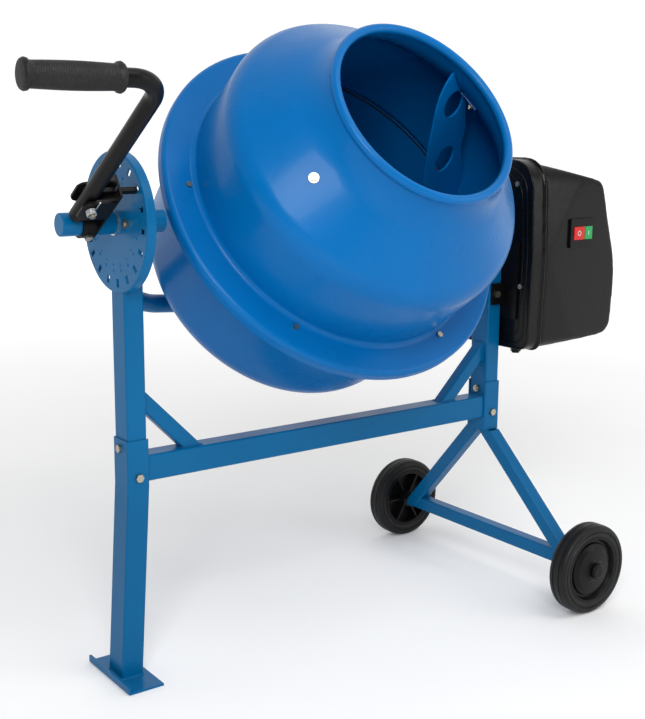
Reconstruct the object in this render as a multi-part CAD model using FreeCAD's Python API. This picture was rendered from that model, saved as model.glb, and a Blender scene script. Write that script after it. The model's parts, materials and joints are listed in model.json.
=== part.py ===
"""Tilting-drum concrete mixer on a two-leg wheeled stand, driven by a boxed electric motor.

Millimetres, +Z up. The model is laid out from the left post: X runs along the stand from the
left post to the motor, -Y is the side the drum empties to, Z = 0 is the floor. Before export it
is moved so that the origin lies on the floor under the middle of the whole machine.
"""
import FreeCAD, Part
import math
import os

Vec = FreeCAD.Vector
AXIS_X = Vec(1, 0, 0)
AXIS_Y = Vec(0, 1, 0)
AXIS_Z = Vec(0, 0, 1)

# ---------------------------------------------------------------- stand
POST_SPACING = 829.0          # left post centre to right post centre
POST_X = 36.0                 # upper post tube, along X
POST_Y = 48.0                 # upper post tube, along Y
TUBE_WALL = 2.0
TUBE_CORNER = 4.0
LEG_X = 41.0                  # lower tube that slides over the post
LEG_Y = 53.0
BEAM_TOP = 395.0
BEAM_HEIGHT = 46.0
BEAM_DEPTH = 42.0
LEG_TOP = 425.0
LEG_KINK = 344.0              # the support leg bends outwards below this height
LEG_LEAN = 21.0               # how far the foot stands outside the post
POST_BOTTOM = 346.0
POST_HEAD = 34.0              # post above the tilt axis
SLOT_GAP = 0.6                # clearance of the leg's slot round the beam
BRACE_REACH = 95.0
BRACE_SECTION = 27.0
BRACE_DEPTH = 25.0
PLATE_LENGTH = 154.0          # foot plate along Y
PLATE_OUT = 55.0              # foot plate beyond the post centre, outwards
PLATE_IN = 12.0
PLATE_T = 4.0
PLATE_LIP = 14.0
BOLT_D = 8.0
BOLT_AF = 13.0
BOLT_HEAD = 5.3
HOLE_GAP = 0.15
LEG_BOLT_Z = 409.0            # bolt through the leg along X
BEAM_BOLT_Z = 360.0           # bolt through the leg along Y

# ---------------------------------------------------------------- wheel stand
SOCKET_BOTTOM = 322.0
SPLAY_TOP = 340.6             # height where the two splayed legs' centre lines meet
SPLAY_HALF = 231.0            # half distance of their lower ends
LEG_END = 250.0               # the splayed legs are cut off upright here, short of the wheel hubs
STAND_LEAN = 24.0             # the axle lies this far outside the right post
STAND_TUBE = 28.0
WHEEL_D = 180.0
STRUT_Z = WHEEL_D / 2 + 4.0     # the axle runs through the strut
SPLAY_LOW = WHEEL_D / 2 + 5.0
WHEEL_W = 41.0
WHEEL_TRACK = 557.0
TYRE_SECTION = 24.0
TYRE_ROUND = 9.0
HUB_R = 19.0
HUB_W = 46.0
WEB_T = 4.0
RIB_COUNT = 6
AXLE_D = 12.0
RUN_GAP = 0.05                # radial clearance of every running fit
CAP_R = 15.0
CAP_T = 8.0

# ---------------------------------------------------------------- tilting cradle
TILT_Z = 789.5                # tilt axis above the floor
TILT_DEG = 55.2               # drum axis from vertical, leaning to -Y
DRUM_X = 418.0                # drum axis along the stand
TRUNNION_R = 19.0
TRUNNION_WALL = 3.0
TRUNNION_BORE = TRUNNION_R - TRUNNION_WALL
TRUNNION_OUT = -114.0         # outer end of the left trunnion
YOKE_TUBE_R = 18.0
YOKE_WALL = 2.5
YOKE_HALF = 369.0             # yoke arm centre from the drum axis
BUSH_T = 2.0
BUSH_OVER = 3.0
DISC_R = 116.0
DISC_T = 3.0
DISC_RIM = 16.0
SLOT_COUNT = 18
SLOT_IN = 92.0
SLOT_OUT = 106.0
SLOT_WIDTH = 8.5
STRAP_HALF = 62.0
STRAP_T = 3.0
STRAP_BOLT_Y = 47.0
STRAP_HALF_H = 30.0

# ---------------------------------------------------------------- lever
LEVER_LEAN = 1.0              # the lever's arm leans this much further over than the drum axis
ARM_X = -96.0
ARM_R = 13.0
ARM_WALL = 2.0
ARM_START = 28.0              # lower end of the arm from the tilt axis
ARM_CORNER = 383.0            # where the arm's and the grip's centre lines would meet
ARM_BEND = 48.0
GRIP_START = -159.0
GRIP_END = -299.0
GRIP_R = 17.5
GRIP_BULGE = 1.3
GRIP_FLANGE_R = 21.0
GRIP_FLANGE_T = 9.0
GRIP_CAP_T = 4.0
PIVOT_S = 76.0                # lever pivot from the tilt axis
PIVOT_R = 4.0
EAR_GAP = 2.5
EAR_T = 4.0
WEB_X = -60.0                 # outer face of the bracket's web
TOOTH_S = 99.0
TOOTH_L = 10.0
TOOTH_W = 7.0
TOOTH_LIFT = 9.0              # room above the tooth in the bracket's web
TOOTH_GAP = 0.6               # tooth tip to disc while the lever is lifted
CLAMP_X = -73.0
CLAMP_T = 4.0

# ---------------------------------------------------------------- drum
SHEET_T = 2.0
FLANGE_H = 33.0               # upper face of the drum flange above the tilt axis
DRUM_R = 286.0                # drum wall at the flange
CREASE_ROUND = 10.0
SHOULDER_R = 290.0
SHOULDER_H = 182.0
SHOULDER_ROUND = 52.0
NECK_R = 185.0
NECK_H = 268.0
NECK_ROUND = 90.0
MOUTH_R = 169.0               # centre line of the rolled mouth bead
MOUTH_H = 314.0
BEAD_R = 8.0
BEAD_ROOM = 14.0              # the blades stay this far below the mouth
SKIRT_R = 345.0
SKIRT_DROP = 21.0
SKIRT_ROUND = 9.0
BOWL_R = 283.0
BOWL_H = -205.0
BOWL_ROUND = 62.0
DISH_R = 112.0
DISH_H = -301.0
DISH_ROUND = 110.0
FLOOR_R = 62.0
FLOOR_H = -318.0
FLOOR_ROUND = 10.0
FLANGE_OUT = 336.0            # bowl flange
BOLT_CIRCLE = 302.0
FLANGE_BOLTS = 6
FLANGE_BOLT_PHASE = -9.0
M6_D = 6.0
M6_AF = 10.0
M6_HEAD = 4.0
SPINDLE_R = 10.0
SPINDLE_PLATE_R = 56.0
SPINDLE_PLATE_T = 5.0
PLATE_BOLT_R = 42.0
HUB_OUT_R = 28.0
HUB_TOP = -327.0
HUB_BOTTOM = -374.0
BEARING_R = 23.5
BEARING_W = 14.0
NUT_AF = 27.0
NUT_H = 9.0
YOKE_END_H = -350.0

# ---------------------------------------------------------------- mixing blades
BLADE_T = 4.0
BLADE_TOP_DEG = 37.0          # the plate's plane meets the wall here
BLADE_TOP_H = 284.0
BLADE_LOW_DEG = 3.0           # and here
BLADE_LOW_H = 60.0
BLADE_FREE = [(0.0, 4.0), (10.0, 22.0), (28.0, 40.0), (52.0, 53.0), (118.0, 77.0), (190.0, 96.0),
              (300.0, 112.0), (385.0, 112.0), (400.0, 95.0)]     # free edge: down the wall, inwards
BLADE_NOTCH = [(262.0, -10.0), (181.0, -8.0), (148.0, -23.0), (76.0, -26.0)]
BLADE_HOLES = [(67.0, 7.0), (178.0, 39.0)]
BLADE_HOLE_R = 26.0
BLADE_GAP = 1.0
TAB_W = 52.0
TAB_H = 30.0
TAB_END = 13.0                # tab beyond its bolt, away from the plate
TAB_T = 3.0
TAB_GAP = 0.3
TAB_HIGH = 236.0
TAB_LOW = -60.0
TAB_BACK = 6.0                # degrees from the plate to the bolt
WASHER_T = 1.6
WASHER_R = 8.5
SEAT_GAP = 0.15

# ---------------------------------------------------------------- drive
MODULE = 4.0
PINION_TEETH = 10
RING_TEETH = 160
RING_SEGMENTS = 4
RING_FACE = 22.0
RING_IN = 292.0
RING_OUT = 334.0
RING_ADDENDUM = 2.3
PINION_ADDENDUM = 3.6
ROOT_GAP = 0.8
BACKLASH = 0.7
PRESSURE_DEG = 20.0
SHAFT_R = 6.0
PULLEY_BIG_R = 70.0
PULLEY_SMALL_R = 11.0
PULLEY_W = 20.0
BELT_W = 14.0
BELT_T = 4.0
BELT_GAP = 0.3
MOTOR_DROP = 170.0            # motor shaft below the tilt axis
MOTOR_R = 58.0
MOTOR_LENGTH = 165.0
MOTOR_SHAFT_R = 7.0
MOUNT_T = 5.0
MOUNT_HALF = 82.0
MOUNT_UP = 82.0
MOUNT_DOWN = 72.0
STANDOFF_R = 6.0
STANDOFF_Y = 72.0

# ---------------------------------------------------------------- motor housing
BRACKET_T = 5.0
HOUSING_X = POST_SPACING + POST_X / 2 + BRACKET_T     # back face of the housing
SEAM_X = HOUSING_X + 38.0
PULLEY_X = HOUSING_X + 18.0
MOUNT_X = HOUSING_X + 47.0
MOTOR_X = HOUSING_X + 53.0
HOUSING_HALF = 102.0
HOUSING_TOP = TILT_Z + 94.5
HOUSING_BOTTOM = TILT_Z - 292.5
HOUSING_WALL = 3.0
HOUSING_LIP = 4.0
HOUSING_LIP_W = 6.0
TOP_ROUND = 58.0
LOW_ROUND = 26.0
SCREW_HIGH_Y = 56.0
SCREW_HIGH_Z = TILT_Z + 46.0
SCREW_LOW_Y = 74.0
SCREW_LOW_Z = TILT_Z - 160.5
COVER_END_TOP = (HOUSING_X + 218.0, TILT_Z + 48.5)
COVER_END_MID = (HOUSING_X + 275.0, TILT_Z - 134.5)
COVER_END_LOW = (HOUSING_X + 265.0, TILT_Z - 277.5)
COVER_TAPER = 15.0
BRACKET_HALF = 66.0
BRACKET_LOW = TILT_Z - 229.5
BRACKET_TOP = TILT_Z - 69.5
BRACKET_BOLT_Z = TILT_Z - 179.5
SWITCH_X = HOUSING_X + 149.0
SWITCH_Z = TILT_Z - 56.5
SWITCH_W = 78.0
SWITCH_H = 60.0
SWITCH_RIM = 5.0
SWITCH_BODY = 34.0
BUTTON_GAP = 0.5
BUTTON_H = 27.0
BUTTON_STOP_W = 33.0
BUTTON_START_W = 24.0
BUTTON_PROUD = 2.0
INLET_X = HOUSING_X + 20.5
INLET_Y = -46.0
INLET_AF = 19.0

TILT = FreeCAD.Placement(Vec(0, 0, TILT_Z), FreeCAD.Rotation(AXIS_X, TILT_DEG))
NODES = {}


# ================================================================ helpers
def box(x0, x1, y0, y1, z0, z1):
    return Part.makeBox(x1 - x0, y1 - y0, z1 - z0, Vec(x0, y0, z0))


def rod(start, end, radius):
    return Part.makeCylinder(radius, (end - start).Length, start, end - start)


def pipe(start, end, outer, inner):
    return rod(start, end, outer).cut(rod(start, end, inner))


def hex_prism(centre, direction, across, height):
    radius = across / math.sqrt(3)
    points = [Vec(radius * math.cos(k * math.pi / 3), radius * math.sin(k * math.pi / 3), 0)
              for k in range(6)]
    prism = Part.Face(Part.makePolygon(points + points[:1])).extrude(Vec(0, 0, height))
    prism.Placement = FreeCAD.Placement(centre, FreeCAD.Rotation(AXIS_Z, direction))
    return prism


def bolt(seat, direction, grip, diameter=BOLT_D, across=BOLT_AF, head=BOLT_HEAD, nut=True):
    """Hex bolt with its head on seat, reaching grip along direction, and its nut beyond."""
    way = Vec(direction).normalize()
    tail = head * 1.6 if nut else 0.0
    body = rod(seat, seat + way * (grip + tail), diameter / 2)
    body = body.fuse(hex_prism(seat - way * head, way, across, head))
    if not nut:
        return [body.removeSplitter()]
    ring = hex_prism(seat + way * grip, way, across, head)
    ring = ring.cut(rod(seat + way * grip, seat + way * (grip + head), diameter / 2))
    return [body.removeSplitter(), ring]


def rounded_path(points, radii, place):
    """Lines joined by arcs through 2D points; place turns a pair of numbers into a vector."""
    edges = []
    start = place(*points[0])
    for k in range(1, len(points) - 1):
        corner = place(*points[k])
        before = place(*points[k - 1]) - corner
        after = place(*points[k + 1]) - corner
        half = before.getAngle(after) / 2
        reach = radii[k - 1] / math.tan(half)
        entry = corner + before.normalize() * reach
        leave = corner + after.normalize() * reach
        middle = (before + after).normalize() * (radii[k - 1] / math.sin(half) - radii[k - 1])
        edges.append(Part.makeLine(start, entry))
        edges.append(Part.Arc(entry, corner + middle, leave).toShape())
        start = leave
    edges.append(Part.makeLine(start, place(*points[-1])))
    return Part.Wire(edges)


def closed_outline(points, radii, place):
    """Closed outline with every corner rounded."""
    count = len(points)
    edges = []
    joints = []
    for k in range(count):
        corner = place(*points[k])
        before = place(*points[k - 1]) - corner
        after = place(*points[(k + 1) % count]) - corner
        half = before.getAngle(after) / 2
        reach = radii[k] / math.tan(half)
        entry = corner + before.normalize() * reach
        leave = corner + after.normalize() * reach
        middle = (before + after).normalize() * (radii[k] / math.sin(half) - radii[k])
        joints.append((entry, corner + middle, leave))
    for k in range(count):
        entry, middle, leave = joints[k]
        edges.append(Part.Arc(entry, middle, leave).toShape())
        edges.append(Part.makeLine(leave, joints[(k + 1) % count][0]))
    return Part.Wire(edges)


def on_floor(x, y):
    return Vec(x, y, 0)


def upright_xz(x, z):
    return Vec(x, 0, z)


def section(width, depth, corner):
    w, d = width / 2, depth / 2
    corners = [(-w, -d), (w, -d), (w, d), (-w, d)]
    return Part.Face(closed_outline(corners, [corner] * 4, on_floor))


def square_tube(start, end, width, depth, wall=TUBE_WALL, corner=TUBE_CORNER, side=AXIS_X):
    """Rectangular tube from start to end; width lies along side."""
    way = end - start
    across = (side - way * (side.dot(way) / way.dot(way))).normalize()
    third = way.cross(across).normalize()
    turn = FreeCAD.Rotation(across, third, way, "ZXY")
    tube = section(width, depth, corner).extrude(Vec(0, 0, way.Length))
    if wall:
        hollow = section(width - 2 * wall, depth - 2 * wall, max(corner - wall, 1.0))
        tube = tube.cut(hollow.extrude(Vec(0, 0, way.Length)))
    tube.Placement = FreeCAD.Placement(start, turn)
    return tube


def half_space(point, normal):
    """Large block that fills the side of the plane that normal points to."""
    size = 4000.0
    block = Part.makeBox(size, size, size, Vec(-size / 2, -size / 2, 0))
    block.Placement = FreeCAD.Placement(point, FreeCAD.Rotation(AXIS_Z, normal))
    return block


def bent_tube(points, radii, outer, wall, place):
    """Round tube bent through the points."""
    def sweep(radius):
        path = rounded_path(points, radii, place)
        first = path.Edges[0]
        ring = Part.makeCircle(radius, first.Vertexes[0].Point, first.tangentAt(first.FirstParameter))
        return path.makePipeShell([Part.Wire(ring)], True, False)
    return sweep(outer).cut(sweep(outer - wall))


def spun_sheet(points, radii, thickness):
    """Sheet metal of revolution: a rounded path, thickened to one side, turned about Z."""
    path = rounded_path(points, radii, upright_xz)
    band = path.makeOffset2D(thickness, 0, True, True, False)
    return band.revolve(Vec(0, 0, 0), AXIS_Z, 360)


def drum_point(radius, degrees, height):
    angle = math.radians(degrees)
    return Vec(radius * math.cos(angle), radius * math.sin(angle), height)


def group(solids):
    return Part.makeCompound(solids)


def at_drum(shape):
    """From drum coordinates, axis on Z, to the cradle's tilted place."""
    moved = shape.copy()
    moved.translate(Vec(DRUM_X, 0, 0))
    return at_tilt(moved)


def at_tilt(shape):
    """From cradle coordinates, X along the tilt axis and Z along the drum axis."""
    moved = shape.copy()
    moved.Placement = TILT.multiply(moved.Placement)
    return moved


def at_lever(shape):
    moved = shape.copy()
    moved.rotate(Vec(0, 0, 0), AXIS_X, LEVER_LEAN)
    return at_tilt(moved)


# ================================================================ stand
def build_frame():
    head = TILT_Z + POST_HEAD
    bush_r = TRUNNION_R + RUN_GAP + BUSH_T
    wall_x = POST_X / 2
    bolt_r = BOLT_D / 2 + HOLE_GAP
    bolts = []
    posts = {}
    for name, x, inward in (("left_post", 0.0, 1), ("right_post", POST_SPACING, -1)):
        post = square_tube(Vec(x, 0, POST_BOTTOM), Vec(x, 0, head), POST_X, POST_Y)
        post = post.cut(rod(Vec(x - POST_X, 0, TILT_Z), Vec(x + POST_X, 0, TILT_Z), bush_r))
        post = post.cut(rod(Vec(x - POST_X, 0, LEG_BOLT_Z), Vec(x + POST_X, 0, LEG_BOLT_Z), bolt_r))
        post = post.cut(rod(Vec(x, -POST_Y, BEAM_BOLT_Z), Vec(x, POST_Y, BEAM_BOLT_Z), bolt_r))
        posts[name] = post
        seat = Vec(x - inward * LEG_X / 2, 0, LEG_BOLT_Z)
        bolts += bolt(seat, Vec(inward, 0, 0), LEG_X / 2 + wall_x)
        bolts += bolt(Vec(x, -LEG_Y / 2, BEAM_BOLT_Z), AXIS_Y, LEG_Y)
    lug_y = POST_Y / 2 + BRACKET_T
    ear_bolt = rod(Vec(POST_SPACING, -POST_Y, BRACKET_BOLT_Z), Vec(POST_SPACING, POST_Y, BRACKET_BOLT_Z), bolt_r)
    posts["right_post"] = posts["right_post"].cut(ear_bolt)
    bolts += bolt(Vec(POST_SPACING, -lug_y, BRACKET_BOLT_Z), AXIS_Y, 2 * lug_y)
    NODES.update(posts)
    NODES["frame_bolts"] = group(bolts + strap_bolts())

    beam_z = BEAM_TOP - BEAM_HEIGHT / 2
    NODES["cross_beam"] = square_tube(Vec(wall_x, 0, beam_z), Vec(POST_SPACING - wall_x, 0, beam_z),
                                      BEAM_DEPTH, BEAM_HEIGHT, side=AXIS_Y)
    braces = []
    for foot, inward in ((wall_x, 1), (POST_SPACING - wall_x, -1)):
        extra = BRACE_SECTION
        low = Vec(foot + inward * (BRACE_REACH + extra), 0, BEAM_TOP - extra)
        high = Vec(foot - inward * extra, 0, BEAM_TOP + BRACE_REACH + extra)
        brace = square_tube(low, high, BRACE_DEPTH, BRACE_SECTION, side=AXIS_Y)
        brace = brace.common(half_space(Vec(foot, 0, 0), Vec(inward, 0, 0)))
        braces.append(brace.common(half_space(Vec(0, 0, BEAM_TOP), AXIS_Z)))
    NODES["corner_braces"] = group(braces)


def strap_bolts():
    """Bolts that clamp the locking disc and its strap to both sides of the left post."""
    bolts = []
    for y in (-STRAP_BOLT_Y, STRAP_BOLT_Y):
        seat = Vec(POST_X / 2 + STRAP_T, y, TILT_Z)
        bolts += bolt(seat, Vec(-1, 0, 0), POST_X + DISC_T + STRAP_T)
    return bolts


def leg_slot(x, inward):
    """Opening in the lower tube that lets it slide up round the beam and the brace."""
    far = x + inward * LEG_X
    near = x + inward * (POST_X / 2 + HOLE_GAP)
    half = BEAM_DEPTH / 2 + SLOT_GAP
    floor = BEAM_TOP - BEAM_HEIGHT - SLOT_GAP
    return box(min(near, far), max(near, far), -half, half, floor, LEG_TOP + 1)


def leg_holes(x):
    bolt_r = BOLT_D / 2 + HOLE_GAP
    cross = rod(Vec(x - LEG_X, 0, LEG_BOLT_Z), Vec(x + LEG_X, 0, LEG_BOLT_Z), bolt_r)
    return cross.fuse(rod(Vec(x, -LEG_Y, BEAM_BOLT_Z), Vec(x, LEG_Y, BEAM_BOLT_Z), bolt_r))


def build_support_leg():
    kink = Vec(0, 0, LEG_KINK)
    foot = Vec(-LEG_LEAN, 0, PLATE_T)
    lean = (foot - kink).normalize()
    mitre = (AXIS_Z - lean).normalize()
    overlap = LEG_X
    upper = square_tube(kink - AXIS_Z * overlap, Vec(0, 0, LEG_TOP), LEG_X, LEG_Y)
    lower = square_tube(foot + lean * overlap, kink - lean * overlap, LEG_X, LEG_Y)
    upper = upper.common(half_space(kink, mitre))
    lower = lower.common(half_space(kink, mitre * -1)).common(half_space(Vec(0, 0, PLATE_T), AXIS_Z))
    leg = upper.fuse(lower).removeSplitter()
    NODES["support_leg"] = leg.cut(leg_slot(0.0, 1)).cut(leg_holes(0.0))

    plate = box(-PLATE_OUT, PLATE_IN, -PLATE_LENGTH / 2, PLATE_LENGTH / 2, 0, PLATE_T)
    lip = box(-PLATE_OUT, -PLATE_OUT + PLATE_T, -PLATE_LENGTH / 2, PLATE_LENGTH / 2, 0, PLATE_LIP)
    plate = plate.fuse(lip).removeSplitter()
    outer_edge = [e for e in plate.Edges if abs(e.CenterOfMass.x + PLATE_OUT) < 0.01
                  and abs(e.CenterOfMass.z) < 0.01]
    NODES["foot_plate"] = plate.makeFillet(PLATE_T * 0.9, outer_edge)


def build_wheel_stand():
    x = POST_SPACING
    socket = square_tube(Vec(x, 0, SOCKET_BOTTOM), Vec(x, 0, LEG_TOP), LEG_X, LEG_Y)
    NODES["stand_socket"] = socket.cut(leg_slot(x, -1)).cut(leg_holes(x))
    axle_x = x + STAND_LEAN
    axle = rod(Vec(axle_x, -WHEEL_TRACK, WHEEL_D / 2), Vec(axle_x, WHEEL_TRACK, WHEEL_D / 2), AXLE_D / 2)
    solid_legs = []
    floor = STRUT_Z - STAND_TUBE / 2
    for name, side in (("stand_leg_front", -1), ("stand_leg_rear", 1)):
        high = Vec(x - 1.5, 0, SPLAY_TOP)
        low = Vec(axle_x, side * SPLAY_HALF, SPLAY_LOW)
        way = (low - high).normalize()
        parts = []
        for wall in (TUBE_WALL, 0):
            leg = square_tube(high - way * 20, low + way * 40, STAND_TUBE, STAND_TUBE, wall)
            leg = leg.common(half_space(Vec(0, 0, 0), AXIS_Y * side))
            leg = leg.common(half_space(Vec(0, 0, SOCKET_BOTTOM), AXIS_Z * -1))
            leg = leg.common(half_space(Vec(0, side * LEG_END, 0), AXIS_Y * -side))
            parts.append(leg.common(half_space(Vec(0, 0, floor), AXIS_Z)))
        NODES[name] = parts[0].cut(axle)
        solid_legs.append(parts[1])
    strut = square_tube(Vec(axle_x, -SPLAY_HALF, STRUT_Z), Vec(axle_x, SPLAY_HALF, STRUT_Z),
                        STAND_TUBE, STAND_TUBE)
    strut = strut.cut(solid_legs[0]).cut(solid_legs[1]).cut(axle)
    NODES["stand_strut"] = max(strut.Solids, key=lambda s: s.Volume)

    hub_face = WHEEL_TRACK / 2 + HUB_W / 2
    end = hub_face + 1.0 + CAP_T / 2
    NODES["wheel_axle"] = rod(Vec(axle_x, -end, WHEEL_D / 2), Vec(axle_x, end, WHEEL_D / 2), AXLE_D / 2)
    caps = []
    for side in (-1, 1):
        base = Vec(axle_x, side * (hub_face + 1.0), WHEEL_D / 2)
        cap = rod(base, base + AXIS_Y * side * CAP_T, CAP_R)
        rim = [e for e in cap.Edges if e.Closed and abs(abs(e.CenterOfMass.y) - abs(base.y)) > CAP_T / 2]
        caps.append(cap.makeFillet(CAP_T * 0.6, rim).cut(NODES["wheel_axle"]))
    NODES["axle_caps"] = group(caps)
    build_wheel("front", axle_x, -1)
    build_wheel("rear", axle_x, 1)


def build_wheel(name, axle_x, side):
    """Wheel with its smooth dished face outwards (+Z here) and its ribs inwards."""
    tyre_in = WHEEL_D / 2 - TYRE_SECTION
    half = WHEEL_W / 2
    band = half - 3.0
    bore = AXLE_D / 2 + RUN_GAP
    hub = HUB_W / 2
    face = half - 7.0
    groove = face - 4.0
    profile = [(bore, -hub), (HUB_R, -hub), (HUB_R, groove - WEB_T), (tyre_in - 7, groove - WEB_T),
               (tyre_in - 7, -band), (tyre_in, -band), (tyre_in, band), (tyre_in - 4, band),
               (tyre_in - 8, groove), (tyre_in - 12, groove), (tyre_in - 14, face), (tyre_in - 24, face + 4.5),
               (HUB_R + 4, hub - 2.5), (HUB_R, hub), (bore, hub)]
    points = [upright_xz(*p) for p in profile]
    rim = Part.Face(Part.makePolygon(points + points[:1])).revolve(Vec(0, 0, 0), AXIS_Z, 360)
    ribs = []
    for k in range(RIB_COUNT):
        rib = box(HUB_R - 1, tyre_in - 6, -2.2, 2.2, -band + 3, groove - WEB_T + 0.5)
        rib.rotate(Vec(0, 0, 0), AXIS_Z, 360.0 * k / RIB_COUNT)
        ribs.append(rib)
    rim = rim.multiFuse(ribs).removeSplitter()
    outline = [(tyre_in, -half + 2), (WHEEL_D / 2, -half), (WHEEL_D / 2, half), (tyre_in, half - 2)]
    tyre = Part.Face(closed_outline(outline, [2.5, TYRE_ROUND, TYRE_ROUND, 2.5], upright_xz))
    tyre = tyre.revolve(Vec(0, 0, 0), AXIS_Z, 360)
    tyre = tyre.cut(rod(Vec(0, 0, -half), Vec(0, 0, half), tyre_in))
    place = FreeCAD.Placement(Vec(axle_x, side * WHEEL_TRACK / 2, WHEEL_D / 2),
                              FreeCAD.Rotation(AXIS_Z, AXIS_Y * side))
    for part_name, shape in (("rim", rim), ("tyre", tyre)):
        shape.Placement = place.multiply(shape.Placement)
        NODES[name + "_wheel_" + part_name] = shape


# ================================================================ tilt bearings and locking disc
def build_tilt_bearings():
    bush_r = TRUNNION_R + RUN_GAP + BUSH_T
    disc_x = -POST_X / 2 - DISC_T
    plate = rod(Vec(disc_x, 0, 0), Vec(disc_x + DISC_T, 0, 0), DISC_R)
    rim = pipe(Vec(disc_x, 0, 0), Vec(disc_x + DISC_RIM, 0, 0), DISC_R, DISC_R - DISC_T)
    disc = plate.fuse(rim).removeSplitter()
    edge = [e for e in disc.Edges if e.Closed and abs(e.CenterOfMass.x - disc_x) < 0.01]
    disc = disc.makeFillet(DISC_T * 0.95, edge)
    disc = disc.cut(rod(Vec(disc_x, 0, 0), Vec(0, 0, 0), bush_r))
    for k in range(SLOT_COUNT):
        slot = box(disc_x - 1, disc_x + DISC_T + 1, -SLOT_WIDTH / 2, SLOT_WIDTH / 2, SLOT_IN, SLOT_OUT)
        slot.rotate(Vec(0, 0, 0), AXIS_X, 360.0 * k / SLOT_COUNT + TILT_DEG)
        disc = disc.cut(slot)
    disc.translate(Vec(0, 0, TILT_Z))
    notch = POST_Y / 2 + HOLE_GAP
    disc = disc.cut(box(-POST_X / 2, 0, -notch, notch, TILT_Z - DISC_R - 1, TILT_Z))
    bolt_r = BOLT_D / 2 + HOLE_GAP
    strap = box(POST_X / 2, POST_X / 2 + STRAP_T, -STRAP_HALF, STRAP_HALF,
                TILT_Z - STRAP_HALF_H, TILT_Z + STRAP_HALF_H)
    strap = strap.cut(rod(Vec(0, 0, TILT_Z), Vec(POST_X, 0, TILT_Z), bush_r))
    for side in (-1, 1):
        y = side * STRAP_BOLT_Y
        hole = rod(Vec(-POST_X, y, TILT_Z), Vec(POST_X, y, TILT_Z), bolt_r)
        disc = disc.cut(hole)
        strap = strap.cut(hole)
    NODES["locking_disc"] = disc
    NODES["bearing_strap"] = strap
    bushes = []
    for low, high in ((disc_x - BUSH_OVER, POST_X / 2 + STRAP_T + BUSH_OVER),
                      (POST_SPACING - POST_X / 2 - BUSH_OVER, POST_SPACING + POST_X / 2 + BUSH_OVER)):
        bushes.append(pipe(Vec(low, 0, TILT_Z), Vec(high, 0, TILT_Z), bush_r, TRUNNION_R + RUN_GAP))
    NODES["tilt_bushes"] = group(bushes)


# ================================================================ cradle
def yoke_path(side):
    """Centre line of one half of the yoke in cradle coordinates, from trunnion to spindle hub."""
    def x(inset):
        return DRUM_X + side * (YOKE_HALF - inset)
    hub = YOKE_HALF - HUB_OUT_R + 3
    return [(x(0), -8.0), (x(0), -100.0), (x(73), -285.0), (x(131), -317.0), (x(hub), YOKE_END_H)]


def build_cradle():
    hub_outer = rod(Vec(DRUM_X, 0, HUB_BOTTOM), Vec(DRUM_X, 0, HUB_TOP), HUB_OUT_R)
    left = (Vec(TRUNNION_OUT, 0, 0), Vec(DRUM_X - YOKE_HALF + YOKE_TUBE_R, 0, 0))
    right = (Vec(DRUM_X + YOKE_HALF - YOKE_TUBE_R - 3, 0, 0), Vec(HOUSING_X + 10, 0, 0))
    for name, side, ends in (("left", -1, left), ("right", 1, right)):
        arm = bent_tube(yoke_path(side), [70.0, 45.0, 90.0], YOKE_TUBE_R, YOKE_WALL, upright_xz)
        arm = arm.cut(rod(ends[0], ends[1], TRUNNION_R)).cut(hub_outer)
        arm = max(arm.Solids, key=lambda s: s.Volume)
        NODES["yoke_" + name] = at_tilt(arm)
    clamp_hole = rod(Vec(CLAMP_X, -60, 0), Vec(CLAMP_X, 60, 0), BOLT_D / 2 + HOLE_GAP)
    clamp_hole.rotate(Vec(0, 0, 0), AXIS_X, LEVER_LEAN)
    tube = pipe(left[0], left[1], TRUNNION_R, TRUNNION_BORE).cut(clamp_hole)
    NODES["trunnion_left"] = at_tilt(tube)
    NODES["trunnion_right"] = at_tilt(pipe(right[0], right[1], TRUNNION_R, TRUNNION_BORE))
    cap = rod(left[0] - AXIS_X * 3, left[0], TRUNNION_R)
    cap = cap.makeFillet(2.0, [e for e in cap.Edges if abs(e.CenterOfMass.x - left[0].x + 3) < 0.01])
    cap = cap.fuse(rod(left[0], left[0] + AXIS_X * 12, TRUNNION_BORE)).removeSplitter()
    NODES["trunnion_cap"] = at_tilt(cap)
    hub = pipe(Vec(DRUM_X, 0, HUB_BOTTOM), Vec(DRUM_X, 0, HUB_TOP), HUB_OUT_R, BEARING_R)
    NODES["spindle_hub"] = at_tilt(hub)
    bearings = []
    for low in (HUB_BOTTOM + 2, HUB_TOP - BEARING_W - 2):
        bearings.append(pipe(Vec(DRUM_X, 0, low), Vec(DRUM_X, 0, low + BEARING_W),
                             BEARING_R, SPINDLE_R + RUN_GAP))
    NODES["spindle_bearings"] = at_tilt(group(bearings))
    seats = []
    for low in (right[0].x + 2, right[1].x - 12):
        seats.append(pipe(Vec(low, 0, 0), Vec(low + 10, 0, 0), TRUNNION_BORE, SHAFT_R + RUN_GAP))
    NODES["shaft_bearings"] = at_tilt(group(seats))


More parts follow.
